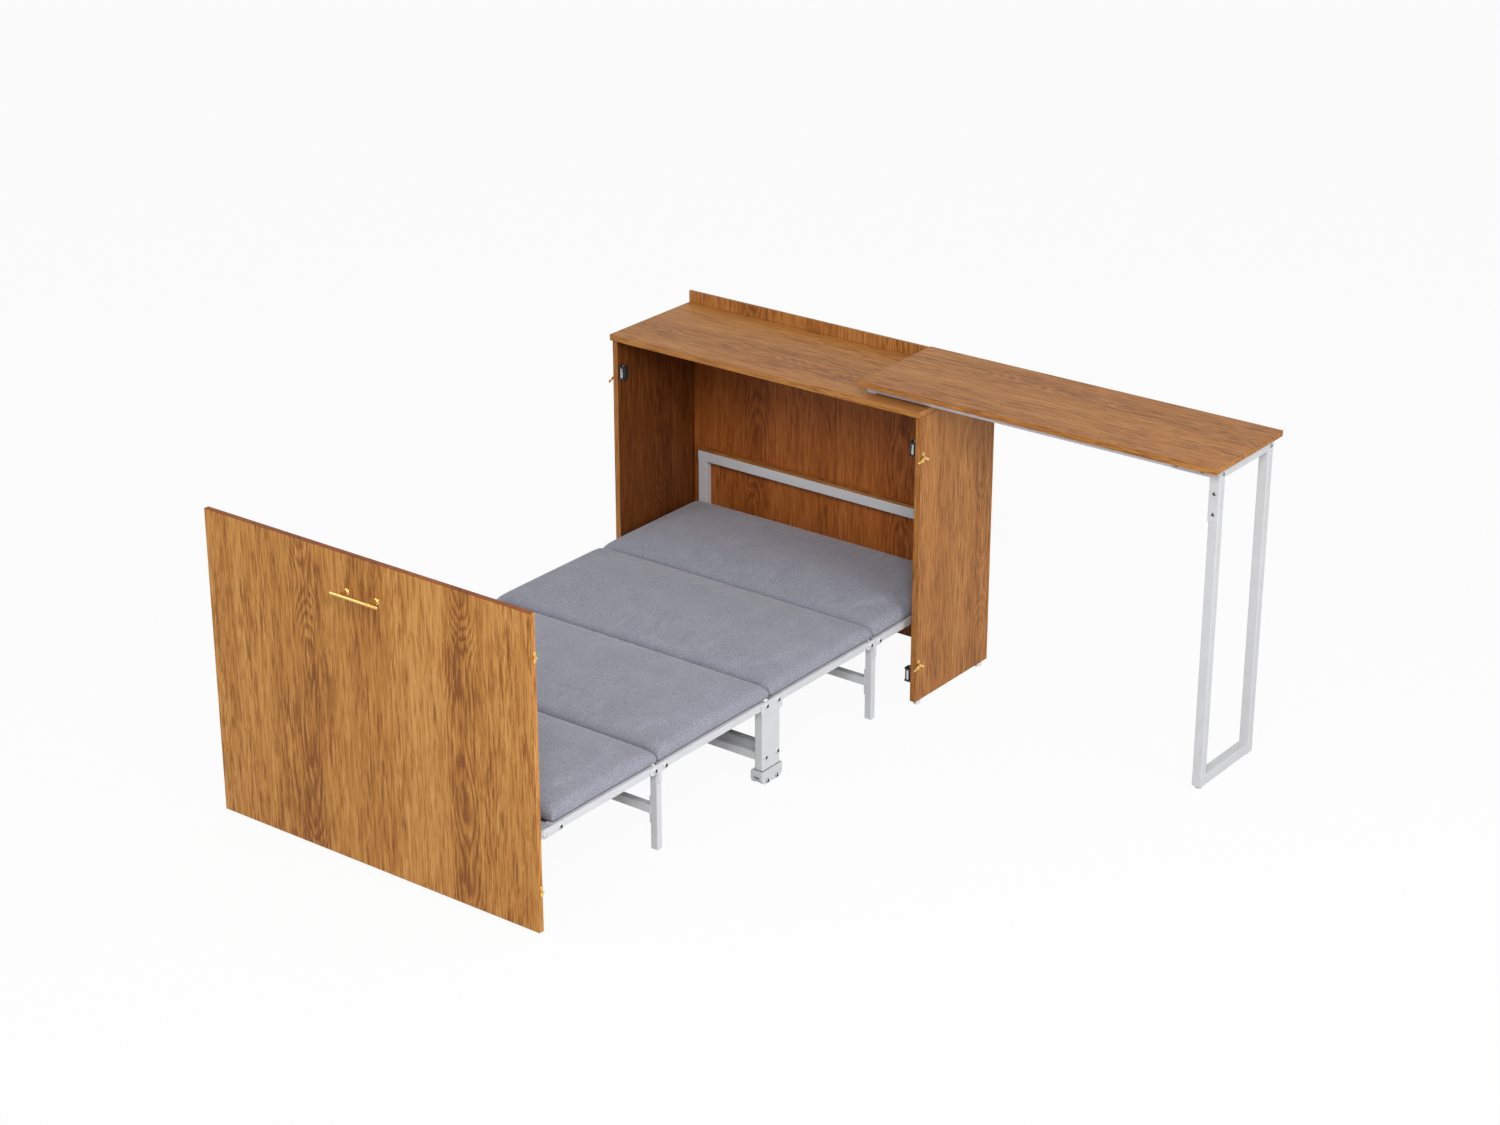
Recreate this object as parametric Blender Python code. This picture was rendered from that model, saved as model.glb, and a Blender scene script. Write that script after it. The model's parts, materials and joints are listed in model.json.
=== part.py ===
"""Wall bed with desk: a shallow cabinet, a concertina bed that folds out and a desk that slides on top."""

import math

import bmesh
import bpy
from mathutils import Vector

# All sizes are in metres. X runs along the cabinet, Y towards the wall and Z up.
# Places are measured from the cabinet's front left corner on the floor, and the root empty
# moves them so that the origin is the centre of the footprint.

# Fits and edges
GAP = 0.0003
OVERRUN = 0.004
WELD = 0.0006
BOARD_EDGE = 0.0008
TUBE_CORNER = 0.0022
TUBE_WALL = 0.0015
ROUND_STEPS = 12
SMALL_ROUND_STEPS = 8
END_STEPS = 6
CORNER_STEPS = 2
SHARP_DEGREES = 32

# Cabinet
CABINET_WIDTH = 1.050
CABINET_HEIGHT = 0.860
CABINET_DEPTH = 0.362
BOARD = 0.018
SIDE_SETBACK = 0.012
BACK_BOARD = 0.009
BACK_LIP = 0.0345
GLIDE_HEIGHT = 0.012
GLIDE_RADIUS = 0.010
GLIDE_INSET = 0.022

# Frame that carries the head of the bed
HEAD_LEG_WIDTH = 0.030
HEAD_TUBE_DEPTH = 0.024
HEAD_BAR_HEIGHT = 0.030
HEAD_BAR_TOP = 0.418
BATTEN_DEPTH = 0.022
BATTEN_HEIGHT = 0.008

# Folding bed
BED_SIDE_ROOM = 0.0483
PIVOT_HEIGHT = 0.228
HEAD_PIVOT_REACH = 0.0447
SECTION_LENGTH = 0.417
KNEE_SPACING = 0.040
MIDDLE_SPACING = 0.050
RAIL_WIDTH = 0.025
RAIL_HEIGHT = 0.020
CROSSBAR_WIDTH = 0.025
CROSSBAR_HEIGHT = 0.0105
CROSSBAR_INSET = 0.030
FOOT_CROSSBAR_INSET = 0.060
DECK_BOARD = 0.009
DECK_SIDE_GAP = 0.0005

# Link plates and their bolts
PLATE = 0.003
PLATE_HEIGHT = 0.024
PLATE_BEYOND_BOLT = 0.019
MIDDLE_PLATE_BEYOND = 0.0198
MIDDLE_PLATE_TAIL = 0.0153
BOLT_RADIUS = 0.004
BOLT_BORE_RADIUS = 0.0047
BOLT_HEAD_RADIUS = 0.0072
BOLT_HEAD_HEIGHT = 0.0038
FIXED_BOLT_DEPTH = 0.0039

# U-legs under the outer knees
LEG_WIDTH = 0.022
LEG_DEPTH = 0.018
LEG_TOP_ROOM = 0.0015
TONGUE_HEIGHT = 0.030
LEG_BAR = 0.022
LEG_BAR_BOTTOM = 0.0975
END_PLATE_LOW = 0.0265
END_PLATE_HEIGHT = 0.0735

# Legs under the middle knee, with their casters
MIDDLE_LEG_WIDTH = 0.025
MIDDLE_LEG_DEPTH = 0.075
MIDDLE_BAR = 0.022
MIDDLE_BAR_HEIGHT = 0.080
MIDDLE_BAR_SPACING = 0.0506
CASTER_WIDTH = 0.036
CASTER_LENGTH = 0.088
CASTER_TOP = 0.042
CASTER_FLOOR_ROOM = 0.0035
CASTER_LOBE = 0.018
CASTER_ARCH = 0.006
CASTER_OUTER_REACH = 0.0033
WHEEL_RADIUS = 0.012
WHEEL_WIDTH = 0.020
WHEEL_EDGE = 0.0015
WHEEL_STEPS = 18
WHEEL_SPACING = 0.040
WHEEL_SIDE_GAP = 0.0012
WHEEL_TOP_GAP = 0.002
AXLE_RADIUS = 0.003
AXLE_CLEARANCE = 0.0004

# Foot of the bed and front panel
PANEL_BOARD = 0.016
PANEL_REACH = 0.0623
PANEL_FLOOR_ROOM = 0.013
PANEL_TOP_ROOM = 0.003
FOOT_RAIL_END = 0.0357
CARRIER_END = 0.0335
FOOT_PAD_END = 0.030
FOOT_PAD_HEIGHT = 0.0077
FOOT_PLATE_TAIL = 0.075
FOOT_BOLT_DISTANCE = 0.0566
CARRIER_PLATE_WIDTH = 0.060
CARRIER_PLATE_HEIGHT = 0.080
HANDLE_SPAN = 0.156
HANDLE_POST_SPACING = 0.096
HANDLE_DROP = 0.0963
HANDLE_REACH = 0.029
HANDLE_BAR_RADIUS = 0.004
HANDLE_POST_RADIUS = 0.0045
HANDLE_ROSE_RADIUS = 0.0085
HANDLE_ROSE_DEPTH = 0.005
HANDLE_OFFSET = 0.001

# Cushions
CUSHION_SIDE_INSET = 0.0017
CUSHION_JOINT = 0.003
CUSHION_HEAD_OVERHANG = 0.0077
CUSHION_FOOT_INSET = 0.0373
CUSHION_SIDE_HEIGHT = 0.0225
CUSHION_EDGE_RISE = 0.018
CUSHION_EDGE_RADIUS = 0.027
CUSHION_CROWN = 0.020
CUSHION_HEM = 0.004
CUSHION_CORNER = 0.020
CUSHION_DRAW = 0.0025
CUSHION_STEPS_ACROSS = 22
CUSHION_STEPS_ALONG = 16
CROWN_POWER = 0.6

# Hooks outside the cabinet and keepers on the panel's edges
HOOK_FROM_TOP = 0.1326
HOOK_FROM_FLOOR = 0.1222
HOOK_Y = 0.022
HOOK_REACH = 0.0163
HOOK_TIP_FORWARD = 0.022
HOOK_TIP_DROP = 0.009
HOOK_TAIL_BACK = 0.020
HOOK_TAIL_DROP = 0.010
HOOK_HALF_WIDTH = 0.0035
HOOK_THICKNESS = 0.0025
HOOK_BOSS_RADIUS = 0.0048
HOOK_SIDE_GAP = 0.0012
EYE_PLATE = 0.0015
EYE_RADIUS = 0.006
EYE_SPACING = 0.0095
EYE_OPENING_DEGREES = 50
SCREW_RADIUS = 0.0026
SCREW_HEIGHT = 0.0008
STUD_RADIUS = 0.00175
STUD_CLEARANCE = 0.0004
STUD_HEAD_RADIUS = 0.0033
STUD_HEAD_HEIGHT = 0.0015

# Catches inside the side panels
CATCH_FROM_TOP = 0.0965
CATCH_FROM_FLOOR = 0.0874
CATCH_WIDTH = 0.020
CATCH_DEPTH = 0.022
CATCH_HEIGHT = 0.040
CATCH_FLANGE = 0.005
CATCH_RECESS = 0.005
CATCH_ROLLER_RADIUS = 0.004
CATCH_SETBACK = 0.0008

# Desk
DESK_LENGTH = 1.0791
DESK_OVERLAP = 0.2018
DESK_DEPTH = 0.3457
DESK_REAR_ROOM = 0.0100
DESK_BOARD = 0.016
DESK_LIFT = 0.003
DESK_BAR_HEIGHT = 0.025
DESK_BAR_WIDTH = 0.025
DESK_FRAME_INSET = 0.0038
DESK_FRONT_SETBACK = 0.0394
DESK_REAR_SETBACK = 0.0329
DESK_END_OVERHANG = 0.0077
DESK_LEG_WIDTH = 0.0275
DESK_LEG_DEPTH = 0.0245
DESK_FOOT_HEIGHT = 0.007
DESK_FOOT_RADIUS = 0.009
DESK_BOTTOM_BAR = 0.030
DESK_BRACKET = 0.002
DESK_BRACKET_WIDTH = 0.0295
DESK_BRACKET_DROP = 0.117
DESK_BRACKET_ARM = 0.110
DESK_BRACKET_ARM_HEIGHT = 0.022
BRACKET_BOLT_SHARES = (0.21, 0.89)
DESK_BOLT_DROP = 0.040
DESK_BOLT_SPACING = 0.055
DESK_BOLT_HEAD_RADIUS = 0.0045
DESK_BOLT_HEAD_HEIGHT = 0.0016
VENT_RADIUS = 0.003

# Worked out from the sizes above
CENTRE = CABINET_WIDTH / 2
TOP_UNDERSIDE = CABINET_HEIGHT - BOARD
BACK_FRONT = CABINET_DEPTH + GAP
RAIL_OUTER = CENTRE - BED_SIDE_ROOM
RAIL_INNER = RAIL_OUTER - RAIL_WIDTH
CUSHION_HALF_WIDTH = RAIL_OUTER - CUSHION_SIDE_INSET
PLATE_INNER = RAIL_OUTER + GAP
PLATE_OUTER = PLATE_INNER + PLATE
LEG_TOP = PIVOT_HEIGHT - RAIL_HEIGHT / 2 - LEG_TOP_ROOM
RAIL_TOP = PIVOT_HEIGHT + RAIL_HEIGHT / 2
RAIL_BOTTOM = PIVOT_HEIGHT - RAIL_HEIGHT / 2
HEAD_PIVOT = CABINET_DEPTH - HEAD_PIVOT_REACH
KNEE_1_NEAR = HEAD_PIVOT - SECTION_LENGTH
KNEE_1_FAR = KNEE_1_NEAR - KNEE_SPACING
MIDDLE_NEAR = KNEE_1_FAR - SECTION_LENGTH
MIDDLE_FAR = MIDDLE_NEAR - MIDDLE_SPACING
KNEE_3_NEAR = MIDDLE_FAR - SECTION_LENGTH
KNEE_3_FAR = KNEE_3_NEAR - KNEE_SPACING
FOOT_PIVOT = KNEE_3_FAR - SECTION_LENGTH
MIDDLE_Y = (MIDDLE_NEAR + MIDDLE_FAR) / 2
PANEL_REAR = FOOT_PIVOT - PANEL_REACH
PANEL_FRONT = PANEL_REAR - PANEL_BOARD
PANEL_TOP = TOP_UNDERSIDE - PANEL_TOP_ROOM
HANDLE_HEIGHT = PANEL_TOP - HANDLE_DROP
KEEPER_Y = PANEL_REAR - (SIDE_SETBACK - GAP) + HOOK_Y - HOOK_REACH
HOOK_HEIGHTS = (HOOK_FROM_FLOOR, CABINET_HEIGHT - HOOK_FROM_TOP)
CATCH_HEIGHTS = (CATCH_FROM_FLOOR, TOP_UNDERSIDE - CATCH_FROM_TOP)
STUD_REACH = GAP + EYE_PLATE + 2 * HOOK_SIDE_GAP + HOOK_THICKNESS + STUD_HEAD_HEIGHT
DESK_LEFT = CABINET_WIDTH - DESK_OVERLAP
DESK_RIGHT = DESK_LEFT + DESK_LENGTH
DESK_REAR = BACK_FRONT - DESK_REAR_ROOM
DESK_FRONT = DESK_REAR - DESK_DEPTH
DESK_BAR_BOTTOM = CABINET_HEIGHT + DESK_LIFT
DESK_BAR_TOP = DESK_BAR_BOTTOM + DESK_BAR_HEIGHT
DESK_TOP = DESK_BAR_TOP + GAP + DESK_BOARD
LOOP_OUTER = DESK_RIGHT - DESK_END_OVERHANG
LOOP_INNER = LOOP_OUTER - DESK_LEG_WIDTH
LOOP_FRONT = DESK_FRONT + DESK_FRONT_SETBACK
LOOP_REAR = DESK_REAR - DESK_REAR_SETBACK
HANDLE_FRONT = PANEL_FRONT - HANDLE_REACH - HANDLE_BAR_RADIUS
LOWEST_X = -STUD_REACH
ORIGIN_X = (LOWEST_X + DESK_RIGHT) / 2
ORIGIN_Y = (HANDLE_FRONT + BACK_FRONT + BACK_BOARD) / 2

# Finishes: sRGB colour, roughness and metallic value
OAK = ((0.70, 0.47, 0.29), 0.50, 0.0)
DARK_OAK = ((0.55, 0.35, 0.21), 0.55, 0.0)
BIRCH = ((0.78, 0.66, 0.48), 0.60, 0.0)
STEEL = ((0.80, 0.81, 0.82), 0.38, 0.6)
LIGHT_STEEL = ((0.86, 0.87, 0.88), 0.36, 0.5)
CLOTH = ((0.61, 0.61, 0.65), 0.90, 0.0)
GOLD = ((0.85, 0.62, 0.27), 0.22, 1.0)
WHITE_PLASTIC = ((0.90, 0.90, 0.88), 0.40, 0.0)
BLACK_PLASTIC = ((0.05, 0.05, 0.06), 0.45, 0.0)
GREY_PLASTIC = ((0.30, 0.31, 0.32), 0.50, 0.0)

OUTLINE_AXES = {"X": "YZX", "Y": "XZY", "Z": "XYZ"}
SIDES = (("left", -1), ("right", 1))

for item in list(bpy.data.objects):
    bpy.data.objects.remove(item)

root = bpy.data.objects.new("origin", None)
root.location = (-ORIGIN_X, -ORIGIN_Y, 0)
bpy.context.scene.collection.objects.link(root)


def pivot(name, y, z=PIVOT_HEIGHT, x=CENTRE):
    """An empty on a joint's axis, which the pieces of that joint hang from."""
    empty = bpy.data.objects.new(name, None)
    empty.parent = root
    empty.location = (x, y, z)
    bpy.context.scene.collection.objects.link(empty)
    return empty


FIXED = pivot("cabinet_frame", 0, 0, 0)


def finish(name, look):
    colour, roughness, metallic = look
    material = bpy.data.materials.new(name)
    material.use_nodes = True
    shader = material.node_tree.nodes["Principled BSDF"]
    linear = [c / 12.92 if c <= 0.04045 else ((c + 0.055) / 1.055) ** 2.4 for c in colour]
    shader.inputs["Base Color"].default_value = (*linear, 1)
    shader.inputs["Roughness"].default_value = roughness
    shader.inputs["Metallic"].default_value = metallic
    return material


def solid(name, mesh_data, carrier, look):
    """Turns a bmesh in cabinet coordinates into an object that hangs from its carrier."""
    bmesh.ops.recalc_face_normals(mesh_data, faces=mesh_data.faces)
    bmesh.ops.translate(mesh_data, verts=mesh_data.verts, vec=-carrier.location)
    mesh = bpy.data.meshes.new(name)
    mesh_data.to_mesh(mesh)
    mesh_data.free()
    mesh.shade_smooth()
    mesh.set_sharp_from_angle(angle=math.radians(SHARP_DEGREES))
    thing = bpy.data.objects.new(name, mesh)
    thing.parent = carrier
    bpy.context.scene.collection.objects.link(thing)
    if look is None:
        thing.hide_render = True
        thing.display_type = "WIRE"
    else:
        mesh.materials.append(finish(name + "_finish", look))
    return thing


def boolean(body, tool, operation):
    modifier = body.modifiers.new(tool.name, "BOOLEAN")
    modifier.operation = operation
    modifier.solver = "EXACT"
    modifier.object = tool


def fuse(body, tool):
    boolean(body, tool, "UNION")


def cut(body, tool):
    boolean(body, tool, "DIFFERENCE")


def rectangle(u0, v0, u1, v1):
    return [(u0, v0), (u1, v0), (u1, v1), (u0, v1)]


def arc(u, v, radius, start, stop, steps):
    """Points on a circle between two angles in degrees."""
    angles = [math.radians(start + (stop - start) * i / steps) for i in range(steps + 1)]
    return [(u + radius * math.cos(a), v + radius * math.sin(a)) for a in angles]


def disc(u, v, radius, steps=ROUND_STEPS):
    return arc(u, v, radius, 0, 360, steps)[:-1]


def rounded(u0, v0, u1, v1, radius, steps=CORNER_STEPS):
    """A rectangle with round corners."""
    low_u, high_u = sorted((u0, u1))
    low_v, high_v = sorted((v0, v1))
    corners = (
        (high_u - radius, high_v - radius, 0),
        (low_u + radius, high_v - radius, 90),
        (low_u + radius, low_v + radius, 180),
        (high_u - radius, low_v + radius, 270),
    )
    return [point for u, v, turn in corners for point in arc(u, v, radius, turn, turn + 90, steps)]


def limb(u0, v0, u1, v1, half_width, steps=END_STEPS):
    """A bar with round ends between two points."""
    turn = math.degrees(math.atan2(v1 - v0, u1 - u0))
    far_end = arc(u1, v1, half_width, turn - 90, turn + 90, steps)
    return far_end + arc(u0, v0, half_width, turn + 90, turn + 270, steps)


def prism(name, axis, outline, start, stop, carrier, look=None, inner=None):
    """An outline drawn square to the axis and extruded along it, hollow where an inner outline is given."""
    iu, iv, iw = ["XYZ".index(letter) for letter in OUTLINE_AXES[axis]]
    mesh_data = bmesh.new()

    def loop(points, along):
        row = []
        for u, v in points:
            place = [0, 0, 0]
            place[iu], place[iv], place[iw] = u, v, along
            row.append(mesh_data.verts.new(place))
        return row

    outer = [loop(outline, along) for along in (start, stop)]
    walls = [outer]
    if inner:
        walls.append([loop(inner, along) for along in (start, stop)])
    for near, far in walls:
        for i in range(len(near)):
            j = (i + 1) % len(near)
            mesh_data.faces.new((near[i], near[j], far[j], far[i]))
    for end in (0, 1):
        if not inner:
            mesh_data.faces.new(outer[end])
            continue
        out, hole = walls[0][end], walls[1][end]
        for i in range(len(out)):
            j = (i + 1) % len(out)
            mesh_data.faces.new((out[i], out[j], hole[j], hole[i]))
    return solid(name, mesh_data, carrier, look)


def box(name, low, high, carrier, look=None, edge=0):
    outline = rectangle(low[0], low[1], high[0], high[1])
    thing = prism(name, "Z", outline, low[2], high[2], carrier, look)
    if edge:
        bevel = thing.modifiers.new("edges", "BEVEL")
        bevel.width = edge
        bevel.segments = 1
    return thing


def turned(name, axis, centre, profile, carrier, look=None, steps=ROUND_STEPS):
    """A profile of (place along the axis, radius) turned about it, closed on itself or on the axis."""
    iu, iv, iw = ["XYZ".index(letter) for letter in OUTLINE_AXES[axis]]
    mesh_data = bmesh.new()
    rows = []
    for along, radius in profile:
        count = steps if radius else 1
        row = []
        for i in range(count):
            angle = 2 * math.pi * i / steps
            place = [0, 0, 0]
            place[iu] = centre[0] + radius * math.cos(angle)
            place[iv] = centre[1] + radius * math.sin(angle)
            place[iw] = along
            row.append(mesh_data.verts.new(place))
        rows.append(row)
    closed = profile[0][1] > 0
    pairs = list(zip(rows, rows[1:]))
    if closed:
        pairs.append((rows[-1], rows[0]))
    for near, far in pairs:
        for i in range(steps):
            j = (i + 1) % steps
            corners = (near[i % len(near)], near[j % len(near)], far[j % len(far)], far[i % len(far)])
            mesh_data.faces.new(tuple(dict.fromkeys(corners)))
    return solid(name, mesh_data, carrier, look)


def box_side(name, side, inner, outer, y0, z0, y1, z1, carrier, look=None):
    """A box placed by its distances from the centre plane, on one side of it."""
    x0, x1 = sorted((CENTRE + side * inner, CENTRE + side * outer))
    return box(name, (x0, y0, z0), (x1, y1, z1), carrier, look)


def bolt(name, side, y, z, face, inward, carrier):
    """A round-headed bolt whose head sits on a face and whose shank runs inward from it."""
    root_x = CENTRE + side * face
    profile = [
        (root_x - side * inward, 0),
        (root_x - side * inward, BOLT_RADIUS),
        (root_x - side * WELD, BOLT_RADIUS),
        (root_x - side * WELD, BOLT_HEAD_RADIUS),
        (root_x + side * BOLT_HEAD_HEIGHT / 2, BOLT_HEAD_RADIUS),
        (root_x + side * BOLT_HEAD_HEIGHT, BOLT_HEAD_RADIUS / 2),
        (root_x + side * BOLT_HEAD_HEIGHT, 0),
    ]
    return turned(name, "X", (y, z), profile, carrier)


def link_plate(name, side, outline, carrier, look=None):
    return prism(name, "X", outline, CENTRE + side * PLATE_INNER, CENTRE + side * PLATE_OUTER, carrier, look)


# Cabinet


def cabinet():
    box(
        "top_board",
        (0, 0, TOP_UNDERSIDE),
        (CABINET_WIDTH, CABINET_DEPTH, CABINET_HEIGHT),
        FIXED,
        OAK,
        BOARD_EDGE,
    )
    for side_name, side in SIDES:
        x0, x1 = sorted((CENTRE + side * CENTRE, CENTRE + side * (CENTRE - BOARD)))
        low = (x0, SIDE_SETBACK, GLIDE_HEIGHT)
        high = (x1, CABINET_DEPTH, TOP_UNDERSIDE - GAP)
        box(side_name + "_side_panel", low, high, FIXED, OAK, BOARD_EDGE)
        back_x = sorted((CENTRE + side * GAP / 2, CENTRE + side * CENTRE))
        low = (back_x[0], BACK_FRONT, GLIDE_HEIGHT)
        high = (back_x[1], BACK_FRONT + BACK_BOARD, CABINET_HEIGHT + BACK_LIP)
        box("back_panel_" + side_name, low, high, FIXED, DARK_OAK, BOARD_EDGE)
        for end, y in (("front", SIDE_SETBACK + GLIDE_INSET), ("rear", CABINET_DEPTH - GLIDE_INSET)):
            x = CENTRE + side * (CENTRE - BOARD / 2)
            outline = disc(x, y, GLIDE_RADIUS)
            prism(f"glide_{side_name}_{end}", "Z", outline, 0, GLIDE_HEIGHT - GAP, FIXED, WHITE_PLASTIC)


def head_frame():
    """Inverted U of tube that stands against the back panel and holds the first pivots."""
    front = CABINET_DEPTH - HEAD_TUBE_DEPTH
    inner = RAIL_OUTER - HEAD_LEG_WIDTH
    bar_low = HEAD_BAR_TOP - HEAD_BAR_HEIGHT
    outline = rounded(front, bar_low, CABINET_DEPTH, HEAD_BAR_TOP, TUBE_CORNER)
    frame = prism("head_frame", "X", outline, CENTRE - RAIL_OUTER, CENTRE + RAIL_OUTER, FIXED, STEEL)
    cavities = []
    for side_name, side in SIDES:
        x0, x1 = CENTRE + side * inner, CENTRE + side * RAIL_OUTER
        outline = rounded(x0, front, x1, CABINET_DEPTH, TUBE_CORNER)
        top = HEAD_BAR_TOP - HEAD_BAR_HEIGHT / 2
        fuse(frame, prism("head_leg_" + side_name, "Z", outline, 0, top, FIXED))
        plate_low = PIVOT_HEIGHT - PLATE_HEIGHT / 2
        plate_high = PIVOT_HEIGHT + PLATE_HEIGHT / 2
        seat = box_side(
            "head_seat_" + side_name,
            side,
            RAIL_OUTER - WELD,
            PLATE_OUTER - WELD,
            front + TUBE_CORNER,
            plate_low,
            CABINET_DEPTH - TUBE_CORNER,
            plate_high,
            FIXED,
        )
        fuse(frame, seat)
        half = PLATE_HEIGHT / 2
        ear = limb(HEAD_PIVOT, PIVOT_HEIGHT, CABINET_DEPTH - half - TUBE_CORNER, PIVOT_HEIGHT, half)
        fuse(frame, link_plate("head_ear_" + side_name, side, ear, FIXED))
        name = "head_bolt_" + side_name
        fuse(frame, bolt(name, side, HEAD_PIVOT, PIVOT_HEIGHT, PLATE_OUTER, RAIL_WIDTH, FIXED))
        cavities.append(
            box_side(
                "head_leg_bore_" + side_name,
                side,
                inner + TUBE_WALL,
                RAIL_OUTER - TUBE_WALL,
                front + TUBE_WALL,
                -OVERRUN,
                CABINET_DEPTH - TUBE_WALL,
                HEAD_BAR_TOP - TUBE_WALL,
                FIXED,
            )
        )
    low = (CENTRE - inner - TUBE_WALL - OVERRUN, front + TUBE_WALL, bar_low + TUBE_WALL)
    high = (CENTRE + inner + TUBE_WALL + OVERRUN, CABINET_DEPTH - TUBE_WALL, HEAD_BAR_TOP - TUBE_WALL)
    cavities.append(box("head_bar_bore", low, high, FIXED))
    for cavity in cavities:
        cut(frame, cavity)
    box(
        "head_batten",
        (CENTRE - RAIL_OUTER, CABINET_DEPTH - BATTEN_DEPTH, HEAD_BAR_TOP + GAP),
        (CENTRE + RAIL_OUTER, CABINET_DEPTH, HEAD_BAR_TOP + GAP + BATTEN_HEIGHT),
        FIXED,
        DARK_OAK,
        BOARD_EDGE,
    )


def catches():
    """Roller catches inside the side panels, which hold the closed front panel."""
    wall = CENTRE - BOARD - GAP
    front = SIDE_SETBACK + CATCH_SETBACK
    for side_name, side in SIDES:
        for level, z in zip(("low", "high"), CATCH_HEIGHTS):
            name = f"catch_{side_name}_{level}"
            x0, x1 = CENTRE + side * (wall - CATCH_WIDTH), CENTRE + side * wall
            outline = rounded(x0, front, x1, front + CATCH_DEPTH, TUBE_CORNER)
            low, high = z - CATCH_HEIGHT / 2, z + CATCH_HEIGHT / 2
            body = prism(name, "Z", outline, low, high, FIXED, BLACK_PLASTIC)
            recess = box_side(
                name + "_recess",
                side,
                wall - CATCH_WIDTH - OVERRUN,
                wall + OVERRUN,
                front - OVERRUN,
                low + CATCH_FLANGE,
                front + CATCH_RECESS,
                high - CATCH_FLANGE,
                FIXED,
            )
            cut(body, recess)
            centre = (CENTRE + side * (wall - CATCH_WIDTH / 2), front + CATCH_ROLLER_RADIUS)
            outline = disc(*centre, CATCH_ROLLER_RADIUS)
            low, high = low + CATCH_FLANGE - WELD, high - CATCH_FLANGE + WELD
            fuse(body, prism(name + "_roller", "Z", outline, low, high, FIXED))


def eye_plate(name, side, face, y, z, carrier):
    """A screwed plate of two eyes with a headed stud between them: the hook's seat and its keeper."""
    start = CENTRE + side * (face + GAP)
    top = CENTRE + side * (face + GAP + EYE_PLATE)
    opening = EYE_OPENING_DEGREES
    outline = arc(y, z + EYE_SPACING, EYE_RADIUS, -opening, 180 + opening, END_STEPS)
    outline += arc(y, z - EYE_SPACING, EYE_RADIUS, 180 - opening, 360 + opening, END_STEPS)
    plate = prism(name, "X", outline, start, top, carrier, GOLD)
    for end in (-1, 1):
        profile = [
            (top - side * WELD, 0),
            (top - side * WELD, SCREW_RADIUS),
            (top + side * SCREW_HEIGHT / 2, SCREW_RADIUS),
            (top + side * SCREW_HEIGHT, SCREW_RADIUS / 2),
            (top + side * SCREW_HEIGHT, 0),
        ]
        centre = (y, z + end * EYE_SPACING)
        screw = turned(f"{name}_screw_{end}", "X", centre, profile, carrier, None, SMALL_ROUND_STEPS)
        fuse(plate, screw)
    neck = top + side * (2 * HOOK_SIDE_GAP + HOOK_THICKNESS)
    profile = [
        (top - side * WELD, 0),
        (top - side * WELD, STUD_RADIUS),
        (neck, STUD_RADIUS),
        (neck, STUD_HEAD_RADIUS),
        (neck + side * STUD_HEAD_HEIGHT / 2, STUD_HEAD_RADIUS),
        (neck + side * STUD_HEAD_HEIGHT, STUD_HEAD_RADIUS / 2),
        (neck + side * STUD_HEAD_HEIGHT, 0),
    ]
    fuse(plate, turned(name + "_stud", "X", (y, z), profile, carrier, None, SMALL_ROUND_STEPS))


def hook_arm(name, side, z):
    """A swinging arm balanced over its stud: a notched limb forward and a thumb tab behind."""
    carrier = pivot(name + "_axis", HOOK_Y, z, CENTRE + side * CENTRE)
    start = CENTRE + side * (CENTRE + GAP + EYE_PLATE + HOOK_SIDE_GAP)
    stop = start + side * HOOK_THICKNESS
    y = HOOK_Y
    tail = limb(y, z, y + HOOK_TAIL_BACK, z - HOOK_TAIL_DROP, HOOK_HALF_WIDTH)
    arm = prism(name, "X", tail, start, stop, carrier, GOLD)
    front = limb(y, z, y - HOOK_TIP_FORWARD, z - HOOK_TIP_DROP, HOOK_HALF_WIDTH)
    fuse(arm, prism(name + "_front", "X", front, start, stop, carrier))
    fuse(arm, prism(name + "_boss", "X", disc(y, z, HOOK_BOSS_RADIUS), start, stop, carrier))
    along = Vector((-HOOK_TIP_FORWARD, -HOOK_TIP_DROP)).normalized()
    upward = Vector((along.y, -along.x))
    seat = Vector((y, z)) + along * HOOK_REACH
    mouth = seat + upward * (HOOK_HALF_WIDTH + OVERRUN)
    notch = limb(*seat, *mouth, STUD_RADIUS + STUD_CLEARANCE)
    low, high = start - side * OVERRUN, stop + side * OVERRUN
    cut(arm, prism(name + "_notch", "X", notch, low, high, carrier))
    bore = disc(y, z, STUD_RADIUS + STUD_CLEARANCE)
    cut(arm, prism(name + "_bore", "X", bore, low, high, carrier))


def hooks():
    for side_name, side in SIDES:
        for level, z in zip(("low", "high"), HOOK_HEIGHTS):
            eye_plate(f"hook_plate_{side_name}_{level}", side, CENTRE, HOOK_Y, z, FIXED)
            hook_arm(f"hook_arm_{side_name}_{level}", side, z)


# Folding bed


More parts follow.
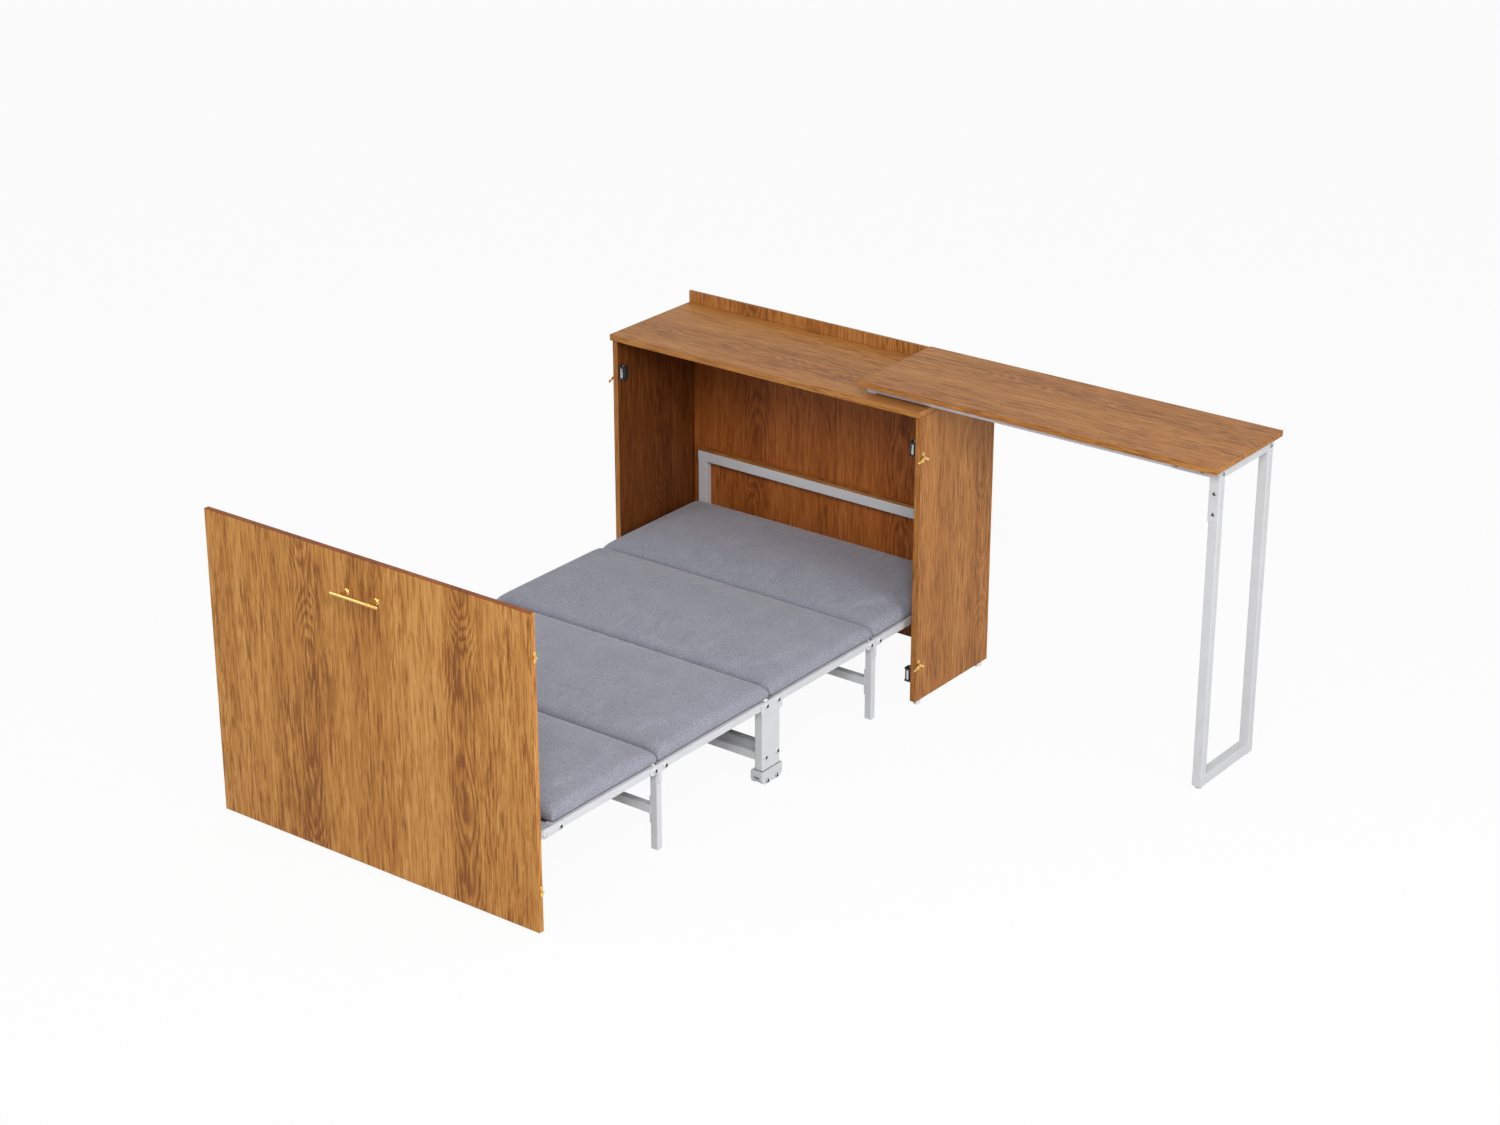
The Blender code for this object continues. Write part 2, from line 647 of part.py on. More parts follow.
def cushion(name, near, far, carrier):
    """Upholstered pad: straight sides that pull in between the corners, a soft rim and a crowned top."""
    half_x, half_y = CUSHION_HALF_WIDTH, (near - far) / 2
    middle_y, base = (near + far) / 2, RAIL_TOP + GAP
    mesh_data = bmesh.new()

    def plan(s, t):
        """Place of a grid point, with round corners and drawn-in sides."""
        x, y = half_x * s, half_y * t
        over_x, over_y = abs(x) - (half_x - CUSHION_CORNER), abs(y) - (half_y - CUSHION_CORNER)
        if over_x > 0 and over_y > 0:
            p, q = over_x / CUSHION_CORNER, over_y / CUSHION_CORNER
            x -= math.copysign(CUSHION_CORNER * p * (1 - math.sqrt(1 - q * q / 2)), x)
            y -= math.copysign(CUSHION_CORNER * q * (1 - math.sqrt(1 - p * p / 2)), y)
        x -= CUSHION_DRAW * s**5 * (1 - t * t)
        y -= CUSHION_DRAW * t**5 * (1 - s * s) / 2
        return CENTRE + x, middle_y + y

    def rim(distance):
        share = min(distance / CUSHION_EDGE_RADIUS, 1)
        return math.sqrt(1 - (1 - share) ** 2)

    def height(s, t):
        edge = rim(half_x * (1 - abs(s))) * rim(half_y * (1 - abs(t)))
        crown = max((1 - s * s) * (1 - t * t), 0) ** CROWN_POWER
        return base + CUSHION_SIDE_HEIGHT + CUSHION_EDGE_RISE * edge + CUSHION_CROWN * crown

    across, along = CUSHION_STEPS_ACROSS, CUSHION_STEPS_ALONG
    rows = []
    for j in range(along + 1):
        t = -math.cos(math.pi * j / along)
        row = []
        for i in range(across + 1):
            s = -math.cos(math.pi * i / across)
            row.append(mesh_data.verts.new((*plan(s, t), height(s, t))))
        rows.append(row)
    for j in range(along):
        for i in range(across):
            mesh_data.faces.new((rows[j][i], rows[j][i + 1], rows[j + 1][i + 1], rows[j + 1][i]))
    border = rows[0][:-1] + [row[-1] for row in rows[:-1]]
    border += rows[-1][:0:-1] + [row[0] for row in rows[:0:-1]]
    upper = border
    for inset, z in ((0, base + CUSHION_HEM), (CUSHION_HEM, base)):
        lower = []
        for vertex in border:
            x = vertex.co.x - math.copysign(inset, vertex.co.x - CENTRE)
            y = vertex.co.y - math.copysign(inset, vertex.co.y - middle_y)
            lower.append(mesh_data.verts.new((x, y, z)))
        for i in range(len(border)):
            j = (i + 1) % len(border)
            mesh_data.faces.new((upper[i], upper[j], lower[j], lower[i]))
        upper = lower
    mesh_data.faces.new(upper)
    return solid(name, mesh_data, carrier, CLOTH)


def crossbar_box(name, y, width, inner, grow, carrier, look=None):
    """A low bar between the rails; grow is negative for the bore that hollows it."""
    low = (CENTRE - inner, y - width / 2 - grow, RAIL_BOTTOM - grow)
    high = (CENTRE + inner, y + width / 2 + grow, RAIL_BOTTOM + CROSSBAR_HEIGHT + grow)
    return box(name, low, high, carrier, look)


def section(number, near, far, carrier, last=False):
    """Two side rails with round ends on their pivots, two low crossbars, the deck between and the cushion."""
    name = f"section_{number}"
    half = RAIL_HEIGHT / 2
    frame = None
    for side_name, side in SIDES:
        if last:
            end = far + FOOT_RAIL_END
            outline = arc(near, PIVOT_HEIGHT, half, -90, 90, END_STEPS)
            outline += [(end, PIVOT_HEIGHT + half), (end, PIVOT_HEIGHT - half)]
        else:
            outline = limb(near, PIVOT_HEIGHT, far, PIVOT_HEIGHT, half)
        x0, x1 = CENTRE + side * RAIL_INNER, CENTRE + side * RAIL_OUTER
        if frame is None:
            frame = prism(name + "_frame", "X", outline, x0, x1, carrier, STEEL)
        else:
            fuse(frame, prism(name + "_rail", "X", outline, x0, x1, carrier))
    bars = (near - CROSSBAR_INSET, far + (FOOT_CROSSBAR_INSET if last else CROSSBAR_INSET))
    for i, y in enumerate(bars):
        fuse(frame, crossbar_box(f"{name}_bar_{i}", y, CROSSBAR_WIDTH, RAIL_INNER + WELD, 0, carrier))
    if last:
        foot_links(frame, far, carrier)
    cavity_end = far + FOOT_RAIL_END - OVERRUN if last else far
    for side_name, side in SIDES:
        cavity = box_side(
            f"{name}_rail_bore_{side_name}",
            side,
            RAIL_INNER + TUBE_WALL,
            RAIL_OUTER - TUBE_WALL,
            cavity_end,
            RAIL_BOTTOM + TUBE_WALL,
            near,
            RAIL_TOP - TUBE_WALL,
            carrier,
        )
        cut(frame, cavity)
    for i, y in enumerate(bars):
        reach = RAIL_INNER + TUBE_WALL + OVERRUN
        cut(frame, crossbar_box(f"{name}_bar_bore_{i}", y, CROSSBAR_WIDTH, reach, -TUBE_WALL, carrier))
    for i, y in enumerate((near,) if last else (near, far)):
        reach = RAIL_OUTER + OVERRUN
        outline = disc(y, PIVOT_HEIGHT, BOLT_BORE_RADIUS)
        cut(frame, prism(f"{name}_pivot_bore_{i}", "X", outline, CENTRE - reach, CENTRE + reach, carrier))
    deck_half = RAIL_INNER - DECK_SIDE_GAP
    deck_low = RAIL_BOTTOM + CROSSBAR_HEIGHT + GAP
    low = (CENTRE - deck_half, bars[1] - CROSSBAR_WIDTH / 2, deck_low)
    high = (CENTRE + deck_half, bars[0] + CROSSBAR_WIDTH / 2, deck_low + DECK_BOARD)
    box(name + "_deck", low, high, carrier, BIRCH, BOARD_EDGE)


def foot_links(frame, pivot_y, carrier):
    """Plates bolted to the last section's rails, which turn on the carrier's bolts."""
    half = PLATE_HEIGHT / 2
    for side_name, side in SIDES:
        tail = pivot_y + FOOT_PLATE_TAIL - half
        outline = limb(pivot_y, PIVOT_HEIGHT, tail, PIVOT_HEIGHT, half)
        fuse(frame, link_plate("foot_link_" + side_name, side, outline, carrier))
        y = pivot_y + FOOT_BOLT_DISTANCE
        name = "foot_fixed_bolt_" + side_name
        fuse(frame, bolt(name, side, y, PIVOT_HEIGHT, PLATE_OUTER, FIXED_BOLT_DEPTH, carrier))
    reach = PLATE_OUTER + BOLT_HEAD_HEIGHT + OVERRUN
    outline = disc(pivot_y, PIVOT_HEIGHT, BOLT_BORE_RADIUS)
    cut(frame, prism("foot_link_bore", "X", outline, CENTRE - reach, CENTRE + reach, carrier))


def u_leg(number, near, far, carrier):
    """Two square legs and a crossbar, with link plates that carry the pivots of two sections."""
    name = f"u_leg_{number}"
    y = (near + far) / 2
    front, rear = y - LEG_DEPTH / 2, y + LEG_DEPTH / 2
    inner = RAIL_OUTER - LEG_WIDTH
    bar_low, bar_high = LEG_BAR_BOTTOM, LEG_BAR_BOTTOM + LEG_BAR
    outline = rounded(y - LEG_BAR / 2, bar_low, y + LEG_BAR / 2, bar_high, TUBE_CORNER)
    leg = prism(name, "X", outline, CENTRE - inner - WELD, CENTRE + inner + WELD, carrier, STEEL)
    cavities = []
    for side_name, side in SIDES:
        x0, x1 = CENTRE + side * inner, CENTRE + side * RAIL_OUTER
        outline = rounded(x0, front, x1, rear, TUBE_CORNER)
        fuse(leg, prism(f"{name}_post_{side_name}", "Z", outline, 0, LEG_TOP, carrier))
        plate = box_side(
            f"{name}_end_plate_{side_name}",
            side,
            inner - PLATE,
            inner + WELD,
            front + WELD,
            LEG_BAR_BOTTOM - END_PLATE_LOW,
            rear - WELD,
            LEG_BAR_BOTTOM - END_PLATE_LOW + END_PLATE_HEIGHT,
            carrier,
        )
        fuse(leg, plate)
        half = PLATE_HEIGHT / 2
        low_y, high_y = far - PLATE_BEYOND_BOLT + half, near + PLATE_BEYOND_BOLT - half
        outline = limb(low_y, PIVOT_HEIGHT, high_y, PIVOT_HEIGHT, half)
        fuse(leg, link_plate(f"{name}_link_{side_name}", side, outline, carrier))
        low_z = LEG_TOP - TONGUE_HEIGHT
        outline = rectangle(front + TUBE_CORNER, low_z, rear - TUBE_CORNER, PIVOT_HEIGHT)
        fuse(leg, link_plate(f"{name}_tongue_{side_name}", side, outline, carrier))
        seat = box_side(
            f"{name}_seat_{side_name}",
            side,
            RAIL_OUTER - WELD,
            PLATE_INNER + WELD,
            front + TUBE_CORNER + WELD,
            low_z + WELD,
            rear - TUBE_CORNER - WELD,
            LEG_TOP - WELD,
            carrier,
        )
        fuse(leg, seat)
        for end, bolt_y in (("near", near), ("far", far)):
            tool_name = f"{name}_bolt_{side_name}_{end}"
            fuse(leg, bolt(tool_name, side, bolt_y, PIVOT_HEIGHT, PLATE_OUTER, RAIL_WIDTH, carrier))
        cavities.append(
            box_side(
                f"{name}_post_bore_{side_name}",
                side,
                inner + TUBE_WALL,
                RAIL_OUTER - TUBE_WALL,
                front + TUBE_WALL,
                -OVERRUN,
                rear - TUBE_WALL,
                LEG_TOP + OVERRUN,
                carrier,
            )
        )
    low = (CENTRE - inner - TUBE_WALL - OVERRUN, front + TUBE_WALL, bar_low + TUBE_WALL)
    high = (CENTRE + inner + TUBE_WALL + OVERRUN, rear - TUBE_WALL, bar_high - TUBE_WALL)
    cavities.append(box(name + "_bar_bore", low, high, carrier))
    for cavity in cavities:
        cut(leg, cavity)


def middle_legs(carrier):
    """Two flat legs joined by two cross tubes, each leg on a caster housing with two small wheels."""
    y = MIDDLE_Y
    front, rear = y - MIDDLE_LEG_DEPTH / 2, y + MIDDLE_LEG_DEPTH / 2
    inner = RAIL_OUTER - MIDDLE_LEG_WIDTH
    for side_name, side in SIDES:
        x0, x1 = CENTRE + side * inner, CENTRE + side * RAIL_OUTER
        outline = rounded(x0, front, x1, rear, TUBE_CORNER)
        wall = TUBE_WALL
        hollow = rounded(x0 + side * wall, front + wall, x1 - side * wall, rear - wall, TUBE_CORNER - wall)
        name = "middle_leg_" + side_name
        leg = prism(name, "Z", outline, CASTER_TOP, LEG_TOP, carrier, STEEL, hollow)
        low_y, high_y = MIDDLE_FAR - MIDDLE_PLATE_BEYOND, MIDDLE_NEAR + MIDDLE_PLATE_BEYOND
        low_z, high_z = LEG_TOP - MIDDLE_PLATE_TAIL, PIVOT_HEIGHT + PLATE_HEIGHT / 2
        outline = rounded(low_y, low_z, high_y, high_z, PLATE_HEIGHT / 4)
        fuse(leg, link_plate(name + "_link", side, outline, carrier))
        tongue = box_side(
            name + "_tongue",
            side,
            RAIL_OUTER - WELD,
            PLATE_OUTER - WELD,
            front + TUBE_CORNER,
            low_z + WELD,
            rear - TUBE_CORNER,
            LEG_TOP - WELD,
            carrier,
        )
        fuse(leg, tongue)
        for end, bolt_y in (("near", MIDDLE_NEAR), ("far", MIDDLE_FAR)):
            tool_name = f"{name}_pivot_{end}"
            fuse(leg, bolt(tool_name, side, bolt_y, PIVOT_HEIGHT, PLATE_OUTER, RAIL_WIDTH, carrier))
        for end in (-1, 1):
            bar_y = y + end * MIDDLE_BAR_SPACING / 2
            tool_name = f"{name}_bar_bolt_{end}"
            depth = TUBE_WALL - WELD / 2
            fuse(leg, bolt(tool_name, side, bar_y, MIDDLE_BAR_HEIGHT, RAIL_OUTER, depth, carrier))
    for end, sign in (("front", -1), ("rear", 1)):
        bar_y = y + sign * MIDDLE_BAR_SPACING / 2
        outline, hollow = [
            rounded(bar_y - half, MIDDLE_BAR_HEIGHT - half, bar_y + half, MIDDLE_BAR_HEIGHT + half, corner)
            for half, corner in (
                (MIDDLE_BAR / 2, TUBE_CORNER),
                (MIDDLE_BAR / 2 - TUBE_WALL, TUBE_CORNER - TUBE_WALL),
            )
        ]
        reach = inner - GAP
        prism("middle_bar_" + end, "X", outline, CENTRE - reach, CENTRE + reach, carrier, STEEL, hollow)
    for side_name, side in SIDES:
        caster(side_name, side, y, carrier)


def caster(side_name, side, y, carrier):
    """A plastic housing with a lobe over each wheel, and two wheels on fixed axles across its slot."""
    name = "caster_housing_" + side_name
    outer = RAIL_OUTER + CASTER_OUTER_REACH
    inner = outer - CASTER_WIDTH
    middle = (outer + inner) / 2
    half, lobe, low = CASTER_LENGTH / 2, CASTER_LOBE, CASTER_FLOOR_ROOM
    outline = [(y + half, CASTER_TOP - GAP), (y - half, CASTER_TOP - GAP)]
    outline += arc(y - half + lobe, low + lobe, lobe, 180, 270, END_STEPS)
    outline += arc(y, low, CASTER_ARCH, 180, 0, END_STEPS)
    outline += arc(y + half - lobe, low + lobe, lobe, 270, 360, END_STEPS)
    x0, x1 = CENTRE + side * inner, CENTRE + side * outer
    housing = prism(name, "X", outline, x0, x1, carrier, GREY_PLASTIC)
    slot_half = WHEEL_WIDTH / 2 + WHEEL_SIDE_GAP
    slot_reach = WHEEL_SPACING / 2 + WHEEL_RADIUS + WHEEL_TOP_GAP
    slot = box_side(
        name + "_slot",
        side,
        middle - slot_half,
        middle + slot_half,
        y - half - OVERRUN,
        -OVERRUN,
        y + slot_reach,
        2 * WHEEL_RADIUS + WHEEL_TOP_GAP,
        carrier,
    )
    cut(housing, slot)
    for number, sign in ((1, -1), (2, 1)):
        axle_y = y + sign * WHEEL_SPACING / 2
        reach = slot_half + WELD
        low_x, high_x = CENTRE + side * (middle - reach), CENTRE + side * (middle + reach)
        outline = disc(axle_y, WHEEL_RADIUS, AXLE_RADIUS)
        fuse(housing, prism(f"{name}_axle_{number}", "X", outline, low_x, high_x, carrier))
        wheel_name = f"wheel_{side_name}_{number}"
        axis = pivot(wheel_name + "_axis", axle_y, WHEEL_RADIUS, CENTRE + side * middle)
        centre_x, half_width = CENTRE + side * middle, WHEEL_WIDTH / 2
        bore = AXLE_RADIUS + AXLE_CLEARANCE
        profile = [
            (centre_x - half_width, bore),
            (centre_x - half_width, WHEEL_RADIUS - WHEEL_EDGE),
            (centre_x - half_width + WHEEL_EDGE, WHEEL_RADIUS),
            (centre_x + half_width - WHEEL_EDGE, WHEEL_RADIUS),
            (centre_x + half_width, WHEEL_RADIUS - WHEEL_EDGE),
            (centre_x + half_width, bore),
        ]
        turned(wheel_name, "X", (axle_y, WHEEL_RADIUS), profile, axis, GREY_PLASTIC, WHEEL_STEPS)


def foot(carrier):
    """Carrier tubes with a cross tube and screw plates, the foot pad and the front panel's two boards."""
    rear = PANEL_REAR + GAP
    end = FOOT_PIVOT + CARRIER_END
    outline = rounded(rear, RAIL_BOTTOM, rear + RAIL_HEIGHT, RAIL_TOP, TUBE_CORNER)
    frame = prism("foot_frame", "X", outline, CENTRE - RAIL_OUTER, CENTRE + RAIL_OUTER, carrier, STEEL)
    cavities = []
    for side_name, side in SIDES:
        x0, x1 = CENTRE + side * RAIL_INNER, CENTRE + side * RAIL_OUTER
        outline = rounded(x0, RAIL_BOTTOM, x1, RAIL_TOP, TUBE_CORNER)
        fuse(frame, prism("carrier_" + side_name, "Y", outline, rear, end, carrier))
        plate = box_side(
            "carrier_plate_" + side_name,
            side,
            RAIL_OUTER - CARRIER_PLATE_WIDTH,
            RAIL_OUTER - WELD,
            rear,
            RAIL_TOP - CARRIER_PLATE_HEIGHT,
            rear + PLATE,
            RAIL_TOP - TUBE_CORNER,
            carrier,
        )
        fuse(frame, plate)
        name = "foot_bolt_" + side_name
        face = PLATE_OUTER + GAP + WELD
        fuse(frame, bolt(name, side, FOOT_PIVOT, PIVOT_HEIGHT, face, RAIL_WIDTH / 2, carrier))
        cavities.append(
            box_side(
                "carrier_bore_" + side_name,
                side,
                RAIL_INNER + TUBE_WALL,
                RAIL_OUTER - TUBE_WALL,
                rear + TUBE_WALL,
                RAIL_BOTTOM + TUBE_WALL,
                FOOT_PIVOT - BOLT_HEAD_RADIUS,
                RAIL_TOP - TUBE_WALL,
                carrier,
            )
        )
    reach = RAIL_INNER + TUBE_WALL + OVERRUN
    low = (CENTRE - reach, rear + TUBE_WALL, RAIL_BOTTOM + TUBE_WALL)
    high = (CENTRE + reach, rear + RAIL_HEIGHT - TUBE_WALL, RAIL_TOP - TUBE_WALL)
    cavities.append(box("foot_bar_bore", low, high, carrier))
    vent_y = rear + RAIL_HEIGHT / 2
    vent = disc(CENTRE, vent_y, VENT_RADIUS, SMALL_ROUND_STEPS)
    cavities.append(prism("foot_bar_vent", "Z", vent, RAIL_BOTTOM - OVERRUN, PIVOT_HEIGHT, carrier))
    for cavity in cavities:
        cut(frame, cavity)
    low = (CENTRE - CUSHION_HALF_WIDTH, rear, RAIL_TOP + GAP)
    pad_top = RAIL_TOP + GAP + FOOT_PAD_HEIGHT
    high = (CENTRE + CUSHION_HALF_WIDTH, FOOT_PIVOT + FOOT_PAD_END, pad_top)
    box("foot_pad", low, high, carrier, CLOTH, BOARD_EDGE)
    for side_name, side in SIDES:
        x0, x1 = sorted((CENTRE + side * GAP / 2, CENTRE + side * CENTRE))
        low = (x0, PANEL_FRONT, PANEL_FLOOR_ROOM)
        high = (x1, PANEL_REAR, PANEL_TOP)
        box("front_panel_" + side_name, low, high, carrier, OAK, BOARD_EDGE)
        for level, z in zip(("low", "high"), HOOK_HEIGHTS):
            eye_plate(f"keeper_{side_name}_{level}", side, CENTRE, KEEPER_Y, z, carrier)
    pull_handle(carrier)


def pull_handle(carrier):
    """A round bar on two posts, each with a rose against the front panel."""
    bar_y = PANEL_FRONT - HANDLE_REACH
    centre = CENTRE - HANDLE_OFFSET
    half, radius = HANDLE_SPAN / 2, HANDLE_BAR_RADIUS
    chamfer = radius / 4
    profile = [
        (centre - half, 0),
        (centre - half, radius - chamfer),
        (centre - half + chamfer, radius),
        (centre + half - chamfer, radius),
        (centre + half, radius - chamfer),
        (centre + half, 0),
    ]
    handle = turned("pull_handle", "X", (bar_y, HANDLE_HEIGHT), profile, carrier, GOLD)
    face = PANEL_FRONT - GAP
    for sign in (-1, 1):
        x = centre + sign * HANDLE_POST_SPACING / 2
        profile = [
            (face, 0),
            (face, HANDLE_ROSE_RADIUS),
            (face - HANDLE_ROSE_DEPTH / 2, HANDLE_ROSE_RADIUS),
            (face - HANDLE_ROSE_DEPTH, HANDLE_POST_RADIUS),
            (bar_y, HANDLE_POST_RADIUS),
            (bar_y, 0),
        ]
        fuse(handle, turned(f"handle_post_{sign}", "Y", (x, HANDLE_HEIGHT), profile, carrier))


# Desk


def desk():
    carrier = pivot("desk_axis", LOOP_FRONT, DESK_BAR_BOTTOM, DESK_LEFT)
    low = (DESK_LEFT, DESK_FRONT, DESK_BAR_TOP + GAP)
    box("desk_top", low, (DESK_RIGHT, DESK_REAR, DESK_TOP), carrier, OAK, BOARD_EDGE)
    left, right = DESK_LEFT + DESK_FRAME_INSET, LOOP_INNER - GAP
    front, rear = LOOP_FRONT + GAP, LOOP_REAR
    low_z, high_z, wall = DESK_BAR_BOTTOM, DESK_BAR_TOP, TUBE_WALL
    outline = rounded(front, low_z, front + DESK_BAR_WIDTH, high_z, TUBE_CORNER)
    frame = prism("desk_frame", "X", outline, left, right, carrier, LIGHT_STEEL)
    outline = rounded(rear - DESK_BAR_WIDTH, low_z, rear, high_z, TUBE_CORNER)
    fuse(frame, prism("desk_rear_bar", "X", outline, left, right, carrier))
    bores = []
    for name, x in (("left", left), ("right", right - DESK_BAR_WIDTH)):
        outline = rounded(x, low_z, x + DESK_BAR_WIDTH, high_z, TUBE_CORNER)
        fuse(frame, prism(f"desk_{name}_bar", "Y", outline, front + WELD, rear - WELD, carrier))
        low = (x + wall, front + wall, low_z + wall)
        high = (x + DESK_BAR_WIDTH - wall, rear - wall, high_z - wall)
        bores.append(box(f"desk_{name}_bore", low, high, carrier))
    for name, y in (("front", front), ("rear", rear - DESK_BAR_WIDTH)):
        low = (left + wall, y + wall, low_z + wall)
        high = (right + OVERRUN, y + DESK_BAR_WIDTH - wall, high_z - wall)
        bores.append(box(f"desk_{name}_bore", low, high, carrier))
    for bore in bores:
        cut(frame, bore)
    desk_leg_loop(carrier)
    low = (left, front + TUBE_CORNER, CABINET_HEIGHT + GAP)
    high = (left + DESK_BAR_WIDTH, rear - TUBE_CORNER, DESK_BAR_BOTTOM - GAP)
    box("desk_glide", low, high, carrier, WHITE_PLASTIC)


def desk_leg_loop(carrier):
    """A loop of tube at the desk's end with two feet and an angle plate bolted over its front corner."""
    wall, depth = TUBE_WALL, DESK_LEG_DEPTH
    bottom = DESK_FOOT_HEIGHT
    name = "desk_leg_loop"
    bars = (("bottom", bottom, bottom + DESK_BOTTOM_BAR), ("top", DESK_BAR_BOTTOM, DESK_BAR_TOP))
    loop, bores = None, []
    for end, y in (("front", LOOP_FRONT), ("rear", LOOP_REAR - depth)):
        outline = rounded(LOOP_INNER, y, LOOP_OUTER, y + depth, TUBE_CORNER)
        if loop is None:
            loop = prism(name, "Z", outline, bottom, DESK_BAR_TOP, carrier, LIGHT_STEEL)
        else:
            fuse(loop, prism(f"{name}_{end}", "Z", outline, bottom, DESK_BAR_TOP, carrier))
        low = (LOOP_INNER + wall, y + wall, bottom + wall)
        high = (LOOP_OUTER - wall, y + depth - wall, DESK_BAR_TOP - wall)
        bores.append(box(f"{name}_bore_{end}", low, high, carrier))
        foot_x, foot_y = (LOOP_INNER + LOOP_OUTER) / 2, y + depth / 2
        outline = disc(foot_x, foot_y, DESK_FOOT_RADIUS)
        fuse(loop, prism(f"desk_foot_{end}", "Z", outline, 0, bottom + WELD, carrier))
    for end, low_z, high_z in bars:
        outline = rounded(LOOP_INNER, low_z, LOOP_OUTER, high_z, TUBE_CORNER)
        start, stop = LOOP_FRONT + WELD, LOOP_REAR - WELD
        fuse(loop, prism(f"{name}_{end}", "Y", outline, start, stop, carrier))
        low = (LOOP_INNER + wall, LOOP_FRONT + wall, low_z + wall)
        high = (LOOP_OUTER - wall, LOOP_REAR - wall, high_z - wall)
        bores.append(box(f"{name}_bore_{end}", low, high, carrier))
    middle_x, middle_y = (LOOP_INNER + LOOP_OUTER) / 2, (LOOP_FRONT + LOOP_REAR) / 2
    vent = disc(middle_x, middle_y, VENT_RADIUS, SMALL_ROUND_STEPS)
    vent_top = bottom + DESK_BOTTOM_BAR / 2
    bores.append(prism(name + "_vent", "Z", vent, bottom - OVERRUN, vent_top, carrier))
    plate_left = LOOP_OUTER - DESK_BRACKET_WIDTH
    arm_left = LOOP_INNER - DESK_BRACKET_ARM
    high_z = DESK_BAR_TOP - TUBE_CORNER
    low_z = DESK_BAR_BOTTOM - DESK_BRACKET_DROP
    arm_low = high_z - DESK_BRACKET_ARM_HEIGHT
    outline = [
        (plate_left, low_z),
        (LOOP_OUTER - TUBE_CORNER, low_z),
        (LOOP_OUTER - TUBE_CORNER, high_z),
        (arm_left, high_z),
        (arm_left, arm_low),
        (plate_left, arm_low),
    ]
    face = LOOP_FRONT - DESK_BRACKET
    fuse(loop, prism("desk_bracket", "Y", outline, face, LOOP_FRONT, carrier))
    for i in range(2):
        centre = (middle_x, DESK_BAR_BOTTOM - DESK_BOLT_DROP - i * DESK_BOLT_SPACING)
        desk_bolt(loop, f"desk_leg_bolt_{i}", centre, face, carrier)
    for i, share in enumerate(BRACKET_BOLT_SHARES):
        centre = (LOOP_INNER - DESK_BRACKET_ARM * share, (high_z + arm_low) / 2)
        desk_bolt(loop, f"desk_bar_bolt_{i}", centre, face, carrier)
    for bore in bores:
        cut(loop, bore)


def desk_bolt(loop, name, centre, face, carrier):
    profile = [
        (face + WELD, 0),
        (face + WELD, DESK_BOLT_HEAD_RADIUS),
        (face - DESK_BOLT_HEAD_HEIGHT / 2, DESK_BOLT_HEAD_RADIUS),
        (face - DESK_BOLT_HEAD_HEIGHT, DESK_BOLT_HEAD_RADIUS / 2),
        (face - DESK_BOLT_HEAD_HEIGHT, 0),
    ]
    fuse(loop, turned(name, "Y", centre, profile, carrier, None, SMALL_ROUND_STEPS))


cabinet()
head_frame()
catches()
hooks()

head_axis = pivot("section_1_axis", HEAD_PIVOT)
knee_1_axis = pivot("knee_1_axis", KNEE_1_NEAR)
section_2_axis = pivot("section_2_axis", KNEE_1_FAR)
middle_axis = pivot("middle_knee_axis", MIDDLE_NEAR)
section_3_axis = pivot("section_3_axis", MIDDLE_FAR)
knee_3_axis = pivot("knee_3_axis", KNEE_3_NEAR)
section_4_axis = pivot("section_4_axis", KNEE_3_FAR)
foot_axis = pivot("foot_axis", FOOT_PIVOT)

section(1, HEAD_PIVOT, KNEE_1_NEAR, head_axis)
section(2, KNEE_1_FAR, MIDDLE_NEAR, section_2_axis)
section(3, MIDDLE_FAR, KNEE_3_NEAR, section_3_axis)
section(4, KNEE_3_FAR, FOOT_PIVOT, section_4_axis, last=True)
u_leg(1, KNEE_1_NEAR, KNEE_1_FAR, knee_1_axis)
u_leg(3, KNEE_3_NEAR, KNEE_3_FAR, knee_3_axis)
middle_legs(middle_axis)
foot(foot_axis)

knees = ((KNEE_1_NEAR, KNEE_1_FAR), (MIDDLE_NEAR, MIDDLE_FAR), (KNEE_3_NEAR, KNEE_3_FAR))
joints_y = [(near + far) / 2 for near, far in knees]
starts = [HEAD_PIVOT + CUSHION_HEAD_OVERHANG] + [y - CUSHION_JOINT / 2 for y in joints_y]
ends = [y + CUSHION_JOINT / 2 for y in joints_y] + [FOOT_PIVOT + CUSHION_FOOT_INSET]
carriers = (head_axis, section_2_axis, section_3_axis, section_4_axis)
for number, (start, end, carrier) in enumerate(zip(starts, ends, carriers), 1):
    cushion(f"cushion_{number}", start, end, carrier)

desk()
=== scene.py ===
"""Looks of the wall bed with desk: finishes, cushions, small fittings, floor, light and camera."""

import json
import math

